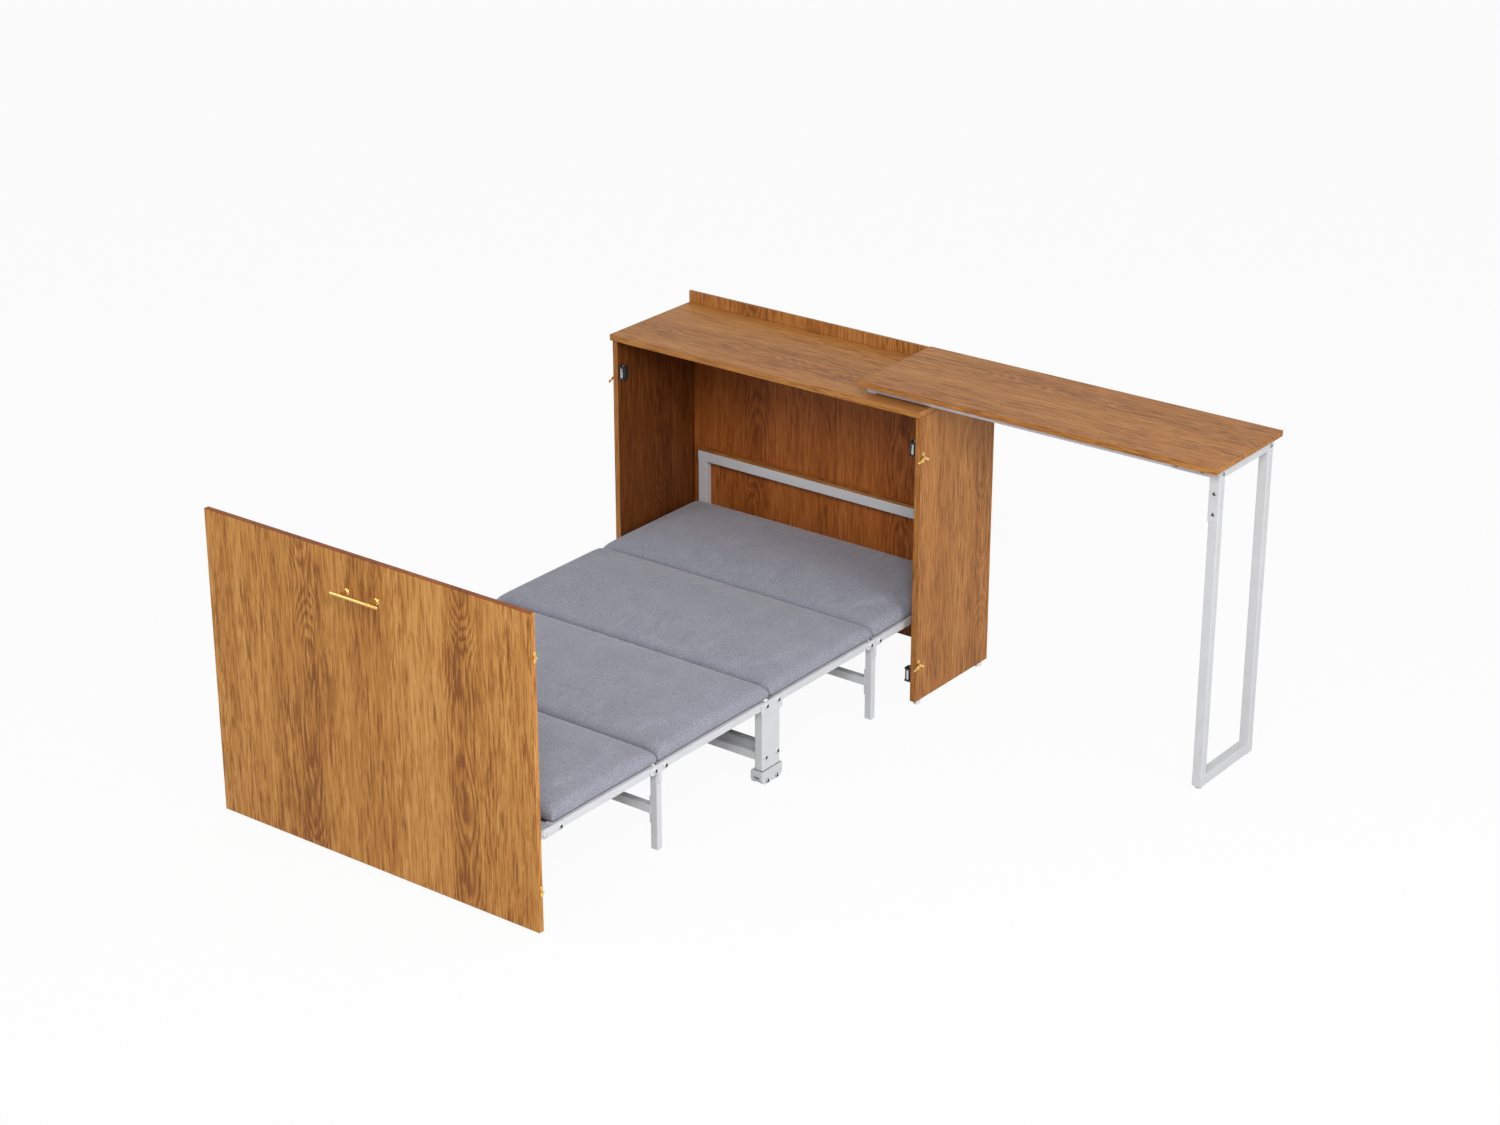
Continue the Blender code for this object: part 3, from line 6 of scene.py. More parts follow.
import bmesh
import bpy
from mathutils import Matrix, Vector


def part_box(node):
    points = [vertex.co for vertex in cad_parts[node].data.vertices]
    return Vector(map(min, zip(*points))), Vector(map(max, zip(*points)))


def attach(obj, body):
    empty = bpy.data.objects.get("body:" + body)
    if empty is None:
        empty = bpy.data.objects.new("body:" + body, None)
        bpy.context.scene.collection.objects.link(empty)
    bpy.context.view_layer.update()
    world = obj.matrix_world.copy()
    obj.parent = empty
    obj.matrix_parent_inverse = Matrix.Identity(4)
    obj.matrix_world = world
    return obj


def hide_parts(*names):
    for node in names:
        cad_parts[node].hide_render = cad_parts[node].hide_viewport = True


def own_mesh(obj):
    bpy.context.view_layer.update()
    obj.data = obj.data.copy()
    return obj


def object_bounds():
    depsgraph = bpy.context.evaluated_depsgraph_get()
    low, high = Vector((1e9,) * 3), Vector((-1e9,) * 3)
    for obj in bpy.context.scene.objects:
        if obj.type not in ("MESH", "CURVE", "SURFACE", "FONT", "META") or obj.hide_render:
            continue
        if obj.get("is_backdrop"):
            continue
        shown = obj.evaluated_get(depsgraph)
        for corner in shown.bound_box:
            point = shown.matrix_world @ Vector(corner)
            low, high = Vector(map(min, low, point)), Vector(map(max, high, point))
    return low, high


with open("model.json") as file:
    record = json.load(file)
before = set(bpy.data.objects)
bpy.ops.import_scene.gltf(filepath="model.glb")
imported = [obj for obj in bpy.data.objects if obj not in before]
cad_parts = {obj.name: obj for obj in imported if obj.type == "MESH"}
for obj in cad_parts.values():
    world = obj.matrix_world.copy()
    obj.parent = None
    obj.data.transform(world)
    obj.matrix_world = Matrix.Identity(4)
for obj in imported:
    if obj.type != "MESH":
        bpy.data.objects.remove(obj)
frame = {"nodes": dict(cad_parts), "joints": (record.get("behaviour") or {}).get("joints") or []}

MM = 0.001
CAD_LOW, CAD_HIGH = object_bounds()
NODES = frame["nodes"]
JOINTS = {joint["name"]: joint for joint in frame["joints"]}
SIDES = (("left", -1), ("right", 1))
LEVELS = ("low", "high")

# Camera at the photograph's place, in metres, with the lens that gives its perspective, in pixels

PHOTO_WIDTH = 1500
FOCAL_PIXELS = 3081.5
SENSOR_WIDTH_MM = 36
CAMERA_PLACE = Vector((4.3045, -5.7077, 3.676))
CAMERA_TURN, CAMERA_PITCH = math.radians(37.05), math.radians(23.16)
NEAREST, FARTHEST = 0.1, 60


def make_camera():
    data = bpy.data.cameras.new("camera")
    data.sensor_width = SENSOR_WIDTH_MM
    data.lens = FOCAL_PIXELS / PHOTO_WIDTH * data.sensor_width
    data.clip_start, data.clip_end = NEAREST, FARTHEST
    camera = bpy.data.objects.new("camera", data)
    ahead = Vector(
        (
            -math.sin(CAMERA_TURN) * math.cos(CAMERA_PITCH),
            math.cos(CAMERA_TURN) * math.cos(CAMERA_PITCH),
            -math.sin(CAMERA_PITCH),
        )
    )
    camera.location = CAMERA_PLACE
    camera.rotation_mode = "QUATERNION"
    camera.rotation_quaternion = ahead.to_track_quat("-Z", "Y")
    bpy.context.scene.collection.objects.link(camera)
    bpy.context.scene.camera = camera


make_camera()

# Finishes


def srgb(text):
    """The linear colour of an sRGB hex value."""
    parts = [int(text[i : i + 2], 16) / 255 for i in (0, 2, 4)]
    return (*[v / 12.92 if v <= 0.04045 else ((v + 0.055) / 1.055) ** 2.4 for v in parts], 1)


def add(tree, kind, settings=(), **inputs):
    """Adds a shader node.

    An input takes a value or a socket. Its name has _ for a space, or it is given by its number, as in at_1.
    """
    made = tree.nodes.new("ShaderNode" + kind)
    for key, value in dict(settings).items():
        setattr(made, key, value)
    for key, value in inputs.items():
        socket = made.inputs[int(key[3:])] if key.startswith("at_") else made.inputs[key.replace("_", " ")]
        if isinstance(value, bpy.types.NodeSocket):
            tree.links.new(value, socket)
        else:
            socket.default_value = value
    return made


def maths(tree, operation, *values):
    """What a Math node makes of its values, each a number or a socket."""
    inputs = {f"at_{i}": value for i, value in enumerate(values)}
    return add(tree, "Math", {"operation": operation}, **inputs).outputs[0]


def mapped(tree, value, low=0.0, high=1.0, to_low=0.0, to_high=1.0, smooth=False):
    """A value carried over from one range to another, and held at that one's ends."""
    settings = {"interpolation_type": "SMOOTHSTEP" if smooth else "LINEAR"}
    inputs = {"Value": value, "at_1": low, "at_2": high, "at_3": to_low, "at_4": to_high}
    return add(tree, "MapRange", settings, **inputs).outputs[0]


def noise(tree, place, size, detail, roughness=0.5):
    """Cloudy noise about a half, whose largest lumps have this size."""
    inputs = {"Vector": place, "Scale": 1 / size, "Detail": detail, "Roughness": roughness}
    return add(tree, "TexNoise", **inputs).outputs["Fac"]


def scaled(tree, vector, factor):
    """A vector or colour times a factor."""
    return add(tree, "VectorMath", {"operation": "SCALE"}, at_0=vector, Scale=factor).outputs[0]


def mixed(tree, share, first, second, how="MIX"):
    """Two colours blended by a share."""
    settings = {"data_type": "RGBA", "blend_type": how}
    return add(tree, "Mix", settings, at_0=share, at_6=first, at_7=second).outputs[2]


def new_finish(name):
    """A material with one Principled shader, and the object's own coordinates in metres."""
    material = bpy.data.materials.new(name)
    material.use_nodes = True
    tree = material.node_tree
    skin = tree.nodes["Principled BSDF"]
    place = add(tree, "TexCoord").outputs["Object"]
    return material, tree, skin, place


# Sizes of the oak's figure. Rings, fibres, dashes and pores are drawn a few times coarser than real ones, so
# that they show.
RING_SPACING = 5.5 * MM
FIBRE_SPACING = 7 * MM
RING_UNEVEN = 7 * MM
STAVE_WIDTH = 110 * MM
DASH_SPACING = 8 * MM
DASH_CLUSTER = 70 * MM
PORE_SPACING = 4 * MM
# The log's heart behind a leaf: the length that it wanders over, how far to the sides and in depth, and its
# least depth
WANDER_LENGTH = 420 * MM
WANDER_SIDE = 60 * MM
WANDER_DEPTH = 150 * MM
LEAST_DEPTH = 8 * MM
# The edge of a darkened face (painted shade on the cabinet's inside faces), measured inwards from the face it
# belongs to
DARKENING_FULL, DARKENING_NONE = 0.6 * MM, 1.2 * MM


def near_arris(tree, place, low, high):
    """0.5 at an arris of the board between two corners, and 0 from a millimetre or so away from it."""
    near_low = add(tree, "VectorMath", {"operation": "SUBTRACT"}, at_0=place, at_1=low).outputs[0]
    near_high = add(tree, "VectorMath", {"operation": "SUBTRACT"}, at_0=high, at_1=place).outputs[0]
    near = add(tree, "VectorMath", {"operation": "MINIMUM"}, at_0=near_low, at_1=near_high).outputs[0]
    total = add(tree, "VectorMath", {"operation": "DOT_PRODUCT"}, at_0=near, at_1=(1, 1, 1)).outputs["Value"]
    sides = add(tree, "SeparateXYZ", Vector=near).outputs
    least = maths(tree, "MINIMUM", sides["X"], sides["Y"])
    least = maths(tree, "MINIMUM", least, sides["Z"])
    most = maths(tree, "MAXIMUM", sides["X"], sides["Y"])
    most = maths(tree, "MAXIMUM", most, sides["Z"])
    second = maths(tree, "SUBTRACT", total, least)
    second = maths(tree, "SUBTRACT", second, most)
    return mapped(tree, second, 0.4 * MM, 1.6 * MM, 0.5, 0.0)


def within(tree, parts, bounds):
    """1 inside all the bounds, each an axis, a face on it and the way in from that face, and 0 outside."""
    inside = 1.0
    for axis, face, way_in in bounds:
        bound = mapped(tree, parts[axis], face - way_in * DARKENING_NONE, face - way_in * DARKENING_FULL)
        inside = maths(tree, "MULTIPLY", bound, inside)
    return inside


def oak_veneer(node_name, board, leaf, start, figure, tones, inner=None):
    """Sliced oak veneer, stained and lacquered satin.

    Nested arches run up each leaf's heart, with dark dashes and open pores. The board's letters are its axes
    across the grain, through the thickness and along the grain. The figure is how dark the heart's rings are,
    from 0 to 1.
    """
    low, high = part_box(node_name)
    material, tree, skin, place = new_finish("oak_veneer_" + node_name)
    parts = add(tree, "SeparateXYZ", Vector=place).outputs
    across, depth, along = (parts[letter] for letter in board)
    thickness = "XYZ".index(board[1])
    core = (low[thickness] + high[thickness]) / 2

    def stretched(shrink):
        """Coordinates in which one unit along the grain is 1 / shrink times as long as across it."""
        short = maths(tree, "MULTIPLY", along, shrink)
        return add(tree, "CombineXYZ", at_0=across, at_1=depth, at_2=short).outputs[0]

    # Leaves of veneer lie side by side, each with its own heart line.
    shifted = maths(tree, "SUBTRACT", across, start)
    from_heart = maths(tree, "WRAP", shifted, leaf / 2, -leaf / 2)
    number = maths(tree, "SUBTRACT", shifted, from_heart)
    # The log's heart lies some 40 to 95 mm behind the leaf and wanders, so its rings are cut to arches.
    way = add(tree, "CombineXYZ", at_0=along, at_1=number, at_2=start).outputs[0]
    wander = add(tree, "TexNoise", Vector=way, Scale=1 / WANDER_LENGTH, Detail=1.0, Roughness=0.4)
    sway = add(tree, "SeparateXYZ", Vector=wander.outputs["Color"]).outputs
    side = maths(tree, "MULTIPLY_ADD", sway["Y"], WANDER_SIDE, from_heart)
    side = maths(tree, "SUBTRACT", side, WANDER_SIDE / 2)
    sink = maths(tree, "MULTIPLY_ADD", sway["X"], WANDER_DEPTH, depth)
    sink = maths(tree, "SUBTRACT", sink, core + LEAST_DEPTH)
    reach = add(tree, "CombineXYZ", at_0=side, at_1=sink).outputs[0]
    reach = add(tree, "VectorMath", {"operation": "LENGTH"}, at_0=reach).outputs["Value"]
    fibre = noise(tree, stretched(0.05), FIBRE_SPACING, 2.0, 0.6)
    # Rings are a little uneven, with late wood as a dark line at the end of each.
    uneven = maths(tree, "MULTIPLY_ADD", fibre, RING_UNEVEN, reach)
    rings = maths(tree, "MULTIPLY", uneven, 1 / RING_SPACING)
    ring = maths(tree, "FRACT", rings)
    late = mapped(tree, ring, 0.30, 0.75, smooth=True)
    early = mapped(tree, ring, 1.0, 0.85, smooth=True)
    line = maths(tree, "MULTIPLY", late, early)
    # Towards the flanks the lines crowd together and melt into the ground tone.
    lean = maths(tree, "DIVIDE", side, reach)
    lean = maths(tree, "ABSOLUTE", lean)
    bold = mapped(tree, lean, 0.75, 0.40, smooth=True)
    heart = maths(tree, "MULTIPLY", line, bold)
    # Staves differ in tone along the whole board.
    stave = noise(tree, stretched(0.04), STAVE_WIDTH, 2.0, 0.6)
    stave = mapped(tree, stave, 0.32, 0.68, 0.0, 0.30)
    # Dark dashes up to some 70 mm long stand in clusters.
    crowd = noise(tree, stretched(0.16), DASH_CLUSTER, 2.0)
    crowd = mapped(tree, crowd, 0.38, 0.66, 0.14, 0.40, smooth=True)
    dash = noise(tree, stretched(0.11), DASH_SPACING, 2.0, 0.7)
    dash = mapped(tree, dash, 0.46, 0.62, smooth=True)
    dash = maths(tree, "MULTIPLY", dash, crowd)
    # Open pores run some 60 mm with the grain.
    pore = noise(tree, stretched(0.06), PORE_SPACING, 1.0)
    pore = mapped(tree, pore, 0.50, 0.66, smooth=True)
    grain = mapped(tree, fibre, 0.30, 0.70, 0.0, 0.40)
    tone = maths(tree, "MULTIPLY_ADD", heart, figure, stave)
    tone = maths(tree, "ADD", tone, grain)
    tone = maths(tree, "ADD", tone, dash)
    tone = maths(tree, "MULTIPLY_ADD", pore, 0.26, tone)
    ramp = add(tree, "ValToRGB", Fac=tone)
    stops = ramp.color_ramp.elements
    stops[0].position, stops[0].color = 0.14, srgb(tones[0])
    stops[1].position, stops[1].color = 1.0, srgb(tones[2])
    stops.new(0.50).color = srgb(tones[1])
    colour = ramp.outputs[0]
    # The arrises are rubbed a little darker over about a millimetre.
    colour = mixed(tree, near_arris(tree, place, low, high), colour, srgb(tones[2]))
    if inner:
        # One face or edge is made darker than the rest, as far as its bounds go: painted shade on the
        # cabinet's inside faces.
        *bounds, darker_tone = inner
        colour = mixed(tree, within(tree, parts, bounds), colour, srgb(darker_tone), "MULTIPLY")
    tree.links.new(colour, skin.inputs["Base Color"])
    gloss = mapped(tree, fibre, to_low=0.40, to_high=0.56)
    tree.links.new(gloss, skin.inputs["Roughness"])
    relief = maths(tree, "SUBTRACT", fibre, pore)
    bump = add(tree, "Bump", Height=relief, Strength=0.4, Distance=0.15 * MM)
    tree.links.new(bump.outputs[0], skin.inputs["Normal"])
    skin.inputs["IOR"].default_value = 1.5
    skin.inputs["Specular IOR Level"].default_value = 0.22
    return material


def powder_coat(name, colour):
    """Steel tube, powder coated: an even satin skin with the faint orange peel of baked powder."""
    material, tree, skin, place = new_finish(name)
    cloud = noise(tree, place, 60 * MM, 2.0)
    shade = mapped(tree, cloud, 0.3, 0.7, 0.97, 1.03)
    tint = scaled(tree, srgb(colour)[:3], shade)
    tree.links.new(tint, skin.inputs["Base Color"])
    # The peel is about 1 mm across, drawn at 1.6 mm so that it shows.
    peel = noise(tree, place, 1.6 * MM, 1.0)
    gloss = mapped(tree, peel, 0.3, 0.7, 0.36, 0.46)
    tree.links.new(gloss, skin.inputs["Roughness"])
    bump = add(tree, "Bump", Height=peel, Strength=0.25, Distance=0.08 * MM)
    tree.links.new(bump.outputs[0], skin.inputs["Normal"])
    skin.inputs["IOR"].default_value = 1.5
    return material


def polished_metal(name, colour, roughness):
    """Brass or zinc die casting, polished and plated: a bright coloured mirror with faint handling haze."""
    material, tree, skin, place = new_finish(name)
    haze = noise(tree, place, 4 * MM, 3.0)
    gloss = mapped(tree, haze, 0.3, 0.7, roughness * 0.7, roughness * 1.4)
    tree.links.new(gloss, skin.inputs["Roughness"])
    tint = mapped(tree, haze, 0.3, 0.7, 0.94, 1.0)
    tint = scaled(tree, srgb(colour)[:3], tint)
    tree.links.new(tint, skin.inputs["Base Color"])
    skin.inputs["Metallic"].default_value = 1.0
    return material


def moulded_plastic(name, colour, roughness):
    """Nylon or ABS, injection moulded against a spark-eroded tool: an even matte skin with a fine grain."""
    material, tree, skin, place = new_finish(name)
    grain = noise(tree, place, 0.9 * MM, 2.0)
    shade = mapped(tree, grain, 0.3, 0.7, 0.95, 1.05)
    tint = scaled(tree, srgb(colour)[:3], shade)
    tree.links.new(tint, skin.inputs["Base Color"])
    gloss = mapped(tree, grain, to_low=roughness * 0.85, to_high=roughness * 1.15)
    tree.links.new(gloss, skin.inputs["Roughness"])
    bump = add(tree, "Bump", Height=grain, Strength=0.3, Distance=0.05 * MM)
    tree.links.new(bump.outputs[0], skin.inputs["Normal"])
    skin.inputs["IOR"].default_value = 1.46
    return material


# Yarns are about 0.5 mm apart in real cloth. They are drawn wider apart here, so that they show.
YARN_SPACING = 1.8 * MM
HEATHER_SIZE = 2.6 * MM
# How far in from the long sides the painted seam shade on the ends begins, and is full
SEAM_SHADE_FROM, SEAM_SHADE_TO = 20 * MM, 45 * MM


def woven_polyester(name, colour, shadow, ends=None):
    """Polyester upholstery cloth, plain woven from mixed grey yarns: heathered and dull, with a soft nap.

    ends: a low and a high corner. Painted shade darkens the cloth from the high one's height down to the low
    one's on the ends that face a neighbouring cushion, and not on the long sides.
    """
    material, tree, skin, place = new_finish(name)
    parts = add(tree, "SeparateXYZ", Vector=place).outputs
    lean = [maths(tree, "MULTIPLY_ADD", parts["Z"], 0.7, parts[axis]) for axis in ("X", "Y")]
    waves = []
    for way in lean:
        turn = maths(tree, "MULTIPLY", way, 2 * math.pi / YARN_SPACING)
        waves.append(maths(tree, "SINE", turn))
    weave = maths(tree, "MULTIPLY", waves[0], waves[1])
    heather = noise(tree, place, HEATHER_SIZE, 3.0, 0.7)
    cloud = noise(tree, place, 70 * MM, 2.0)
    mix = mapped(tree, heather, 0.34, 0.66, 0.0, 0.80)
    mix = maths(tree, "MULTIPLY_ADD", weave, 0.10, mix)
    mix = maths(tree, "MULTIPLY_ADD", cloud, 0.25, mix)
    tint = mixed(tree, mix, srgb(colour), srgb(shadow))
    # Painted shade: the cloth darkens low on the ends, in the seams between neighbouring cushions.
    if ends:
        low, high = ends
        drop = mapped(tree, parts["Z"], low.z, high.z, 0.30, 0.0)
        for side, way in ((low.x, 1), (high.x, -1)):
            inside = mapped(tree, parts["X"], side + way * SEAM_SHADE_FROM, side + way * SEAM_SHADE_TO)
            drop = maths(tree, "MULTIPLY", drop, inside)
        level = maths(tree, "SUBTRACT", 1.0, drop)
        tint = scaled(tree, tint, level)
    tree.links.new(tint, skin.inputs["Base Color"])
    relief = maths(tree, "MULTIPLY_ADD", weave, 0.5, heather)
    bump = add(tree, "Bump", Height=relief, Strength=0.5, Distance=0.35 * MM)
    tree.links.new(bump.outputs[0], skin.inputs["Normal"])
    skin.inputs["Roughness"].default_value = 0.95
    skin.inputs["Sheen Weight"].default_value = 0.25
    skin.inputs["Sheen Roughness"].default_value = 0.5
    skin.inputs["Specular IOR Level"].default_value = 0.2
    return material


def sewn_thread(name, colour):
    """Polyester thread pulled tight in a seam: twisted and matt, and drawn darker than the cloth as painted
    shade, for it lies sunk in the cloth.
    """
    material, tree, skin, place = new_finish(name)
    # A wave texture has 20 bands per unit of its coordinates at a scale of 1.
    twist = 1 / (2.4 * MM) / 20
    ply = add(tree, "TexWave", {"bands_direction": "DIAGONAL"}, Vector=place, Scale=twist, Distortion=0.6)
    tint = mapped(tree, ply.outputs["Fac"], to_low=0.85, to_high=1.1)
    tint = scaled(tree, srgb(colour)[:3], tint)
    tree.links.new(tint, skin.inputs["Base Color"])
    skin.inputs["Roughness"].default_value = 0.9
    return material


def plywood(name, colour, dark):
    """Birch plywood faced with dark resin film: dull, with the wood's long figure faint beneath it."""
    material, tree, skin, place = new_finish(name)
    long_way = add(tree, "VectorMath", {"operation": "MULTIPLY"}, at_0=place, at_1=(0.08, 1, 1)).outputs[0]
    figure = noise(tree, long_way, 30 * MM, 4.0, 0.6)
    mix = mapped(tree, figure, 0.3, 0.7)
    tint = mixed(tree, mix, srgb(colour), srgb(dark))
    tree.links.new(tint, skin.inputs["Base Color"])
    bump = add(tree, "Bump", Height=figure, Strength=0.2, Distance=0.1 * MM)
    tree.links.new(bump.outputs[0], skin.inputs["Normal"])
    skin.inputs["Roughness"].default_value = 0.7
    return material


BED_STEEL = powder_coat("steel_powder_coated_silver_grey", "D1D2D5")
DESK_STEEL = powder_coat("steel_powder_coated_pale_grey", "CACBCD")
# A paler copy of the desk steel for the desk frame: painted light on a face that lies in the desk top's
# shade.
DESK_STEEL_PAINTED_LIGHT = powder_coat("steel_powder_coated_pale_grey_rail", "E2E2E8")
BRASS = polished_metal("brass_polished", "EDC676", 0.24)
CHROME = polished_metal("chrome_plated_steel", "C9CBCE", 0.12)
ZINC = polished_metal("zinc_plated_steel", "A9ABAE", 0.34)
# Near black for the insides of sockets and recesses: painted shade.
RECESS_PAINTED_SHADE = moulded_plastic("blackened_steel_socket", "1B1C1E", 0.45)
BLACK_NYLON = moulded_plastic("black_nylon_moulded", "242527", 0.48)
GREY_NYLON = moulded_plastic("grey_nylon_moulded", "CBCDCE", 0.46)
WHEEL_NYLON = moulded_plastic("grey_nylon_wheel", "C2C4C6", 0.42)
WHITE_NYLON = moulded_plastic("white_nylon_moulded", "E6E6E3", 0.45)
CLOTH_TONES = ("B1B3BE", "6D6F7E")
CLOTH = woven_polyester("woven_polyester_grey", *CLOTH_TONES)
PAD_LOW, PAD_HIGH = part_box("cushion_2")
# The band low on the cushions' ends that takes painted seam shade
SEAM_SHADE_BAND = (PAD_LOW + Vector((0, 0, 18 * MM)), Vector((PAD_HIGH.x, PAD_HIGH.y, PAD_LOW.z + 42 * MM)))
SEAM_SHADED_CLOTH = woven_polyester("woven_polyester_grey_brushed", *CLOTH_TONES, SEAM_SHADE_BAND)
# The thread's dark grey is painted shade in the sunk seam.
SHADED_SEAM_THREAD = sewn_thread("polyester_seam_thread", "5C5D68")
FILM_PLY = plywood("birch_plywood_film_faced", "635F5B", "4C4845")

# One oak veneer in three copies: the front's tones paler and the sides' and tops' darker, as painted light
# and shade for how the light falls on each face.
FRONT_TONES_PAINTED_LIGHT = ("D39B57", "B97D3A", "854F20")
SIDE_TONES_PAINTED_SHADE = ("BD864A", "A86D34", "7E4C22")
TOP_TONES_PAINTED_SHADE = ("BF8645", "AA7038", "7E4E24")
# Painted shade: the cabinet's inside faces take a darker tone over the oak.
BACK_INSIDE_PAINTED_SHADE = (("Y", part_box("back_panel_left")[0].y, -1), ("Z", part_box("top_board")[1].z, -1), "F2D2BC")
FRONT_EDGE = (("Z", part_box("front_panel_left")[1].z, 1), "BE9150")
LEFT_INSIDE_PAINTED_SHADE = (("X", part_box("left_side_panel")[1].x, 1), "A48C80")
RIGHT_INSIDE_PAINTED_SHADE = (("X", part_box("right_side_panel")[0].x, -1), "C8AC98")
# Each board's axes across, through and along the grain, its leaf width, its first heart line, its figure, its
# tones from light to dark (paler on the front and darker on the sides and tops, as painted light and shade),
# and its darker face or edge (painted shade on the cabinet's inside faces)
FINISH_OF = {
    "top_board": oak_veneer("top_board", "YZX", 0.30, 0.74, 0.24, TOP_TONES_PAINTED_SHADE),
    "desk_top": oak_veneer("desk_top", "YZX", 0.26, 0.86, 0.24, TOP_TONES_PAINTED_SHADE),
    "left_side_panel": oak_veneer("left_side_panel", "YXZ", 0.34, 0.80, 0.24, SIDE_TONES_PAINTED_SHADE, LEFT_INSIDE_PAINTED_SHADE),
    "right_side_panel": oak_veneer("right_side_panel", "YXZ", 0.34, 0.93, 0.24, SIDE_TONES_PAINTED_SHADE, RIGHT_INSIDE_PAINTED_SHADE),
    "back_panel_left": oak_veneer("back_panel_left", "XYZ", 0.36, -0.72, 0.38, SIDE_TONES_PAINTED_SHADE, BACK_INSIDE_PAINTED_SHADE),
    "back_panel_right": oak_veneer("back_panel_right", "XYZ", 0.36, -0.20, 0.38, SIDE_TONES_PAINTED_SHADE, BACK_INSIDE_PAINTED_SHADE),
    "front_panel_left": oak_veneer("front_panel_left", "XYZ", 0.42, -0.63, 0.38, FRONT_TONES_PAINTED_LIGHT, FRONT_EDGE),
    "front_panel_right": oak_veneer("front_panel_right", "XYZ", 0.40, -0.13, 0.38, FRONT_TONES_PAINTED_LIGHT, FRONT_EDGE),
    "head_batten": oak_veneer("head_batten", "YZX", 0.20, 0.95, 0.24, TOP_TONES_PAINTED_SHADE),
    "desk_frame": DESK_STEEL_PAINTED_LIGHT,
    "desk_leg_loop": DESK_STEEL,
}
FINISH_BY_START = {
    "glide": WHITE_NYLON,
    "desk_glide": WHITE_NYLON,
    "catch": BLACK_NYLON,
    "hook": BRASS,
    "keeper": BRASS,
    "pull_handle": BRASS,
    "caster_housing": GREY_NYLON,
    "wheel": WHEEL_NYLON,
    "cushion": CLOTH,
    "foot_pad": CLOTH,
}

for node_name, thing in NODES.items():
    finish = FINISH_OF.get(node_name)
    for start, looks in FINISH_BY_START.items():
        if node_name.startswith(start):
            finish = looks
    if finish is None:
        finish = FILM_PLY if node_name.endswith("_deck") else BED_STEEL
    thing.data.materials.clear()
    thing.data.materials.append(finish)

# Shapes

SHARP_ANGLE = math.radians(38)


def piece(name, mesh, body, *finishes):
    """An object made of a bmesh that rides on a body."""
    bmesh.ops.recalc_face_normals(mesh, faces=mesh.faces)
    data = bpy.data.meshes.new(name)
    mesh.to_mesh(data)
    mesh.free()
    data.shade_smooth()
    data.set_sharp_from_angle(angle=SHARP_ANGLE)
    thing = bpy.data.objects.new(name, data)
    bpy.context.scene.collection.objects.link(thing)
    for finish in finishes:
        data.materials.append(finish)
    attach(thing, body)
    return thing


def lathe(mesh, centre, axis, profile, sunk=math.inf, steps=24):
    """Turns a closed profile about an axis through the centre.

    Its points are (distance along the axis, radius) in metres. A third value gives the corners of a row that
    is no circle, and a pair of radii makes that row a star. From the point numbered sunk on, faces take the
    second finish.
    """
    turn = Vector(axis).normalized().to_track_quat("Z", "X").to_matrix()
    rows = []
    for along, radius, *corners in profile:
        tip, root = radius if isinstance(radius, tuple) else (radius, radius)
        count = (corners or [steps])[0] if tip > 0 else 1
        row = []
        for i in range(count):
            angle, size = 2 * math.pi * i / count, root if i % 2 else tip
            spot = Vector((size * math.cos(angle), size * math.sin(angle), along))
            row.append(mesh.verts.new(Vector(centre) + turn @ spot))
        rows.append(row)

    def nearest(row, i):
        return row[(i * len(row) + steps // 2) // steps % len(row)]

    for step, (near, far) in enumerate(zip(rows, rows[1:])):
        for i in range(steps):
            corners = (nearest(near, i), nearest(near, i + 1), nearest(far, i + 1), nearest(far, i))
            corners = tuple(dict.fromkeys(corners))
            if len(corners) > 2:
                mesh.faces.new(corners).material_index = int(step >= sunk)


# Heads stand a little way into the face below them.
ROOTED = 0.3 * MM


def button_bolt(mesh, centre, axis, radius, height, depth=0.8 * MM):
    """A button head with a hexagon socket; the socket's walls and floor take the second finish, which paints
    the shade in the socket.
    """
    rim = height * 0.97
    floor = rim - depth
    profile = [(-ROOTED, 0), (-ROOTED, radius), (height * 0.22, radius), (height * 0.34, radius * 0.97)]
    for share in (0.25, 0.5, 0.75, 1):
        turn = share * math.pi / 2
        profile.append((height * (0.34 + 0.66 * math.sin(turn)), radius * (0.70 + 0.27 * math.cos(turn))))
    profile += [(rim, radius * 0.68), (rim, radius * 0.67, 6), (floor, radius * 0.65, 6), (floor, 0)]
    lathe(mesh, centre, axis, profile, len(profile) - 3)


def screw(mesh, centre, axis, radius, height):
    """A low domed screw head with a cross recess, which takes the second finish: painted shade in the recess.
    """
    profile = [(-ROOTED, 0), (-ROOTED, radius), (height * 0.3, radius * 0.96), (height * 0.75, radius * 0.82)]
    profile += [(height, radius * 0.66), (height, (radius * 0.62, radius * 0.20), 8)]
    profile += [(height * 0.35, (radius * 0.40, radius * 0.14), 8), (height * 0.25, 0)]
    lathe(mesh, centre, axis, profile, len(profile) - 3)


def fastened(name, body, maker, places, axis, radius, height, *finishes):
    """Several heads of one kind on one face, as one piece."""
    mesh = bmesh.new()
    for centre in places:
        maker(mesh, centre, axis, radius, height)
    return piece(name, mesh, body, *finishes)


# Button-head bolts with hexagon sockets, on the faces where the solids have plain heads

CENTRE_X = JOINTS["bed_fold"]["pos_m"][0]
HEAD_RISE = 3.8 * MM
PLATE_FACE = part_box("u_leg_1")[1].x - CENTRE_X - HEAD_RISE
RAIL_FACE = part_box("section_1_frame")[1].x - CENTRE_X
PIVOTS = {
    "cabinet": ("bed_fold",),
    "knee_1": ("knee_1_turn", "section_2_turn"),
    "middle_knee": ("middle_turn", "section_3_turn"),
    "knee_3": ("knee_3_turn", "section_4_turn"),
    "front": ("front_turn",),
}
FOOT_BOLT_DISTANCE = 56.6 * MM
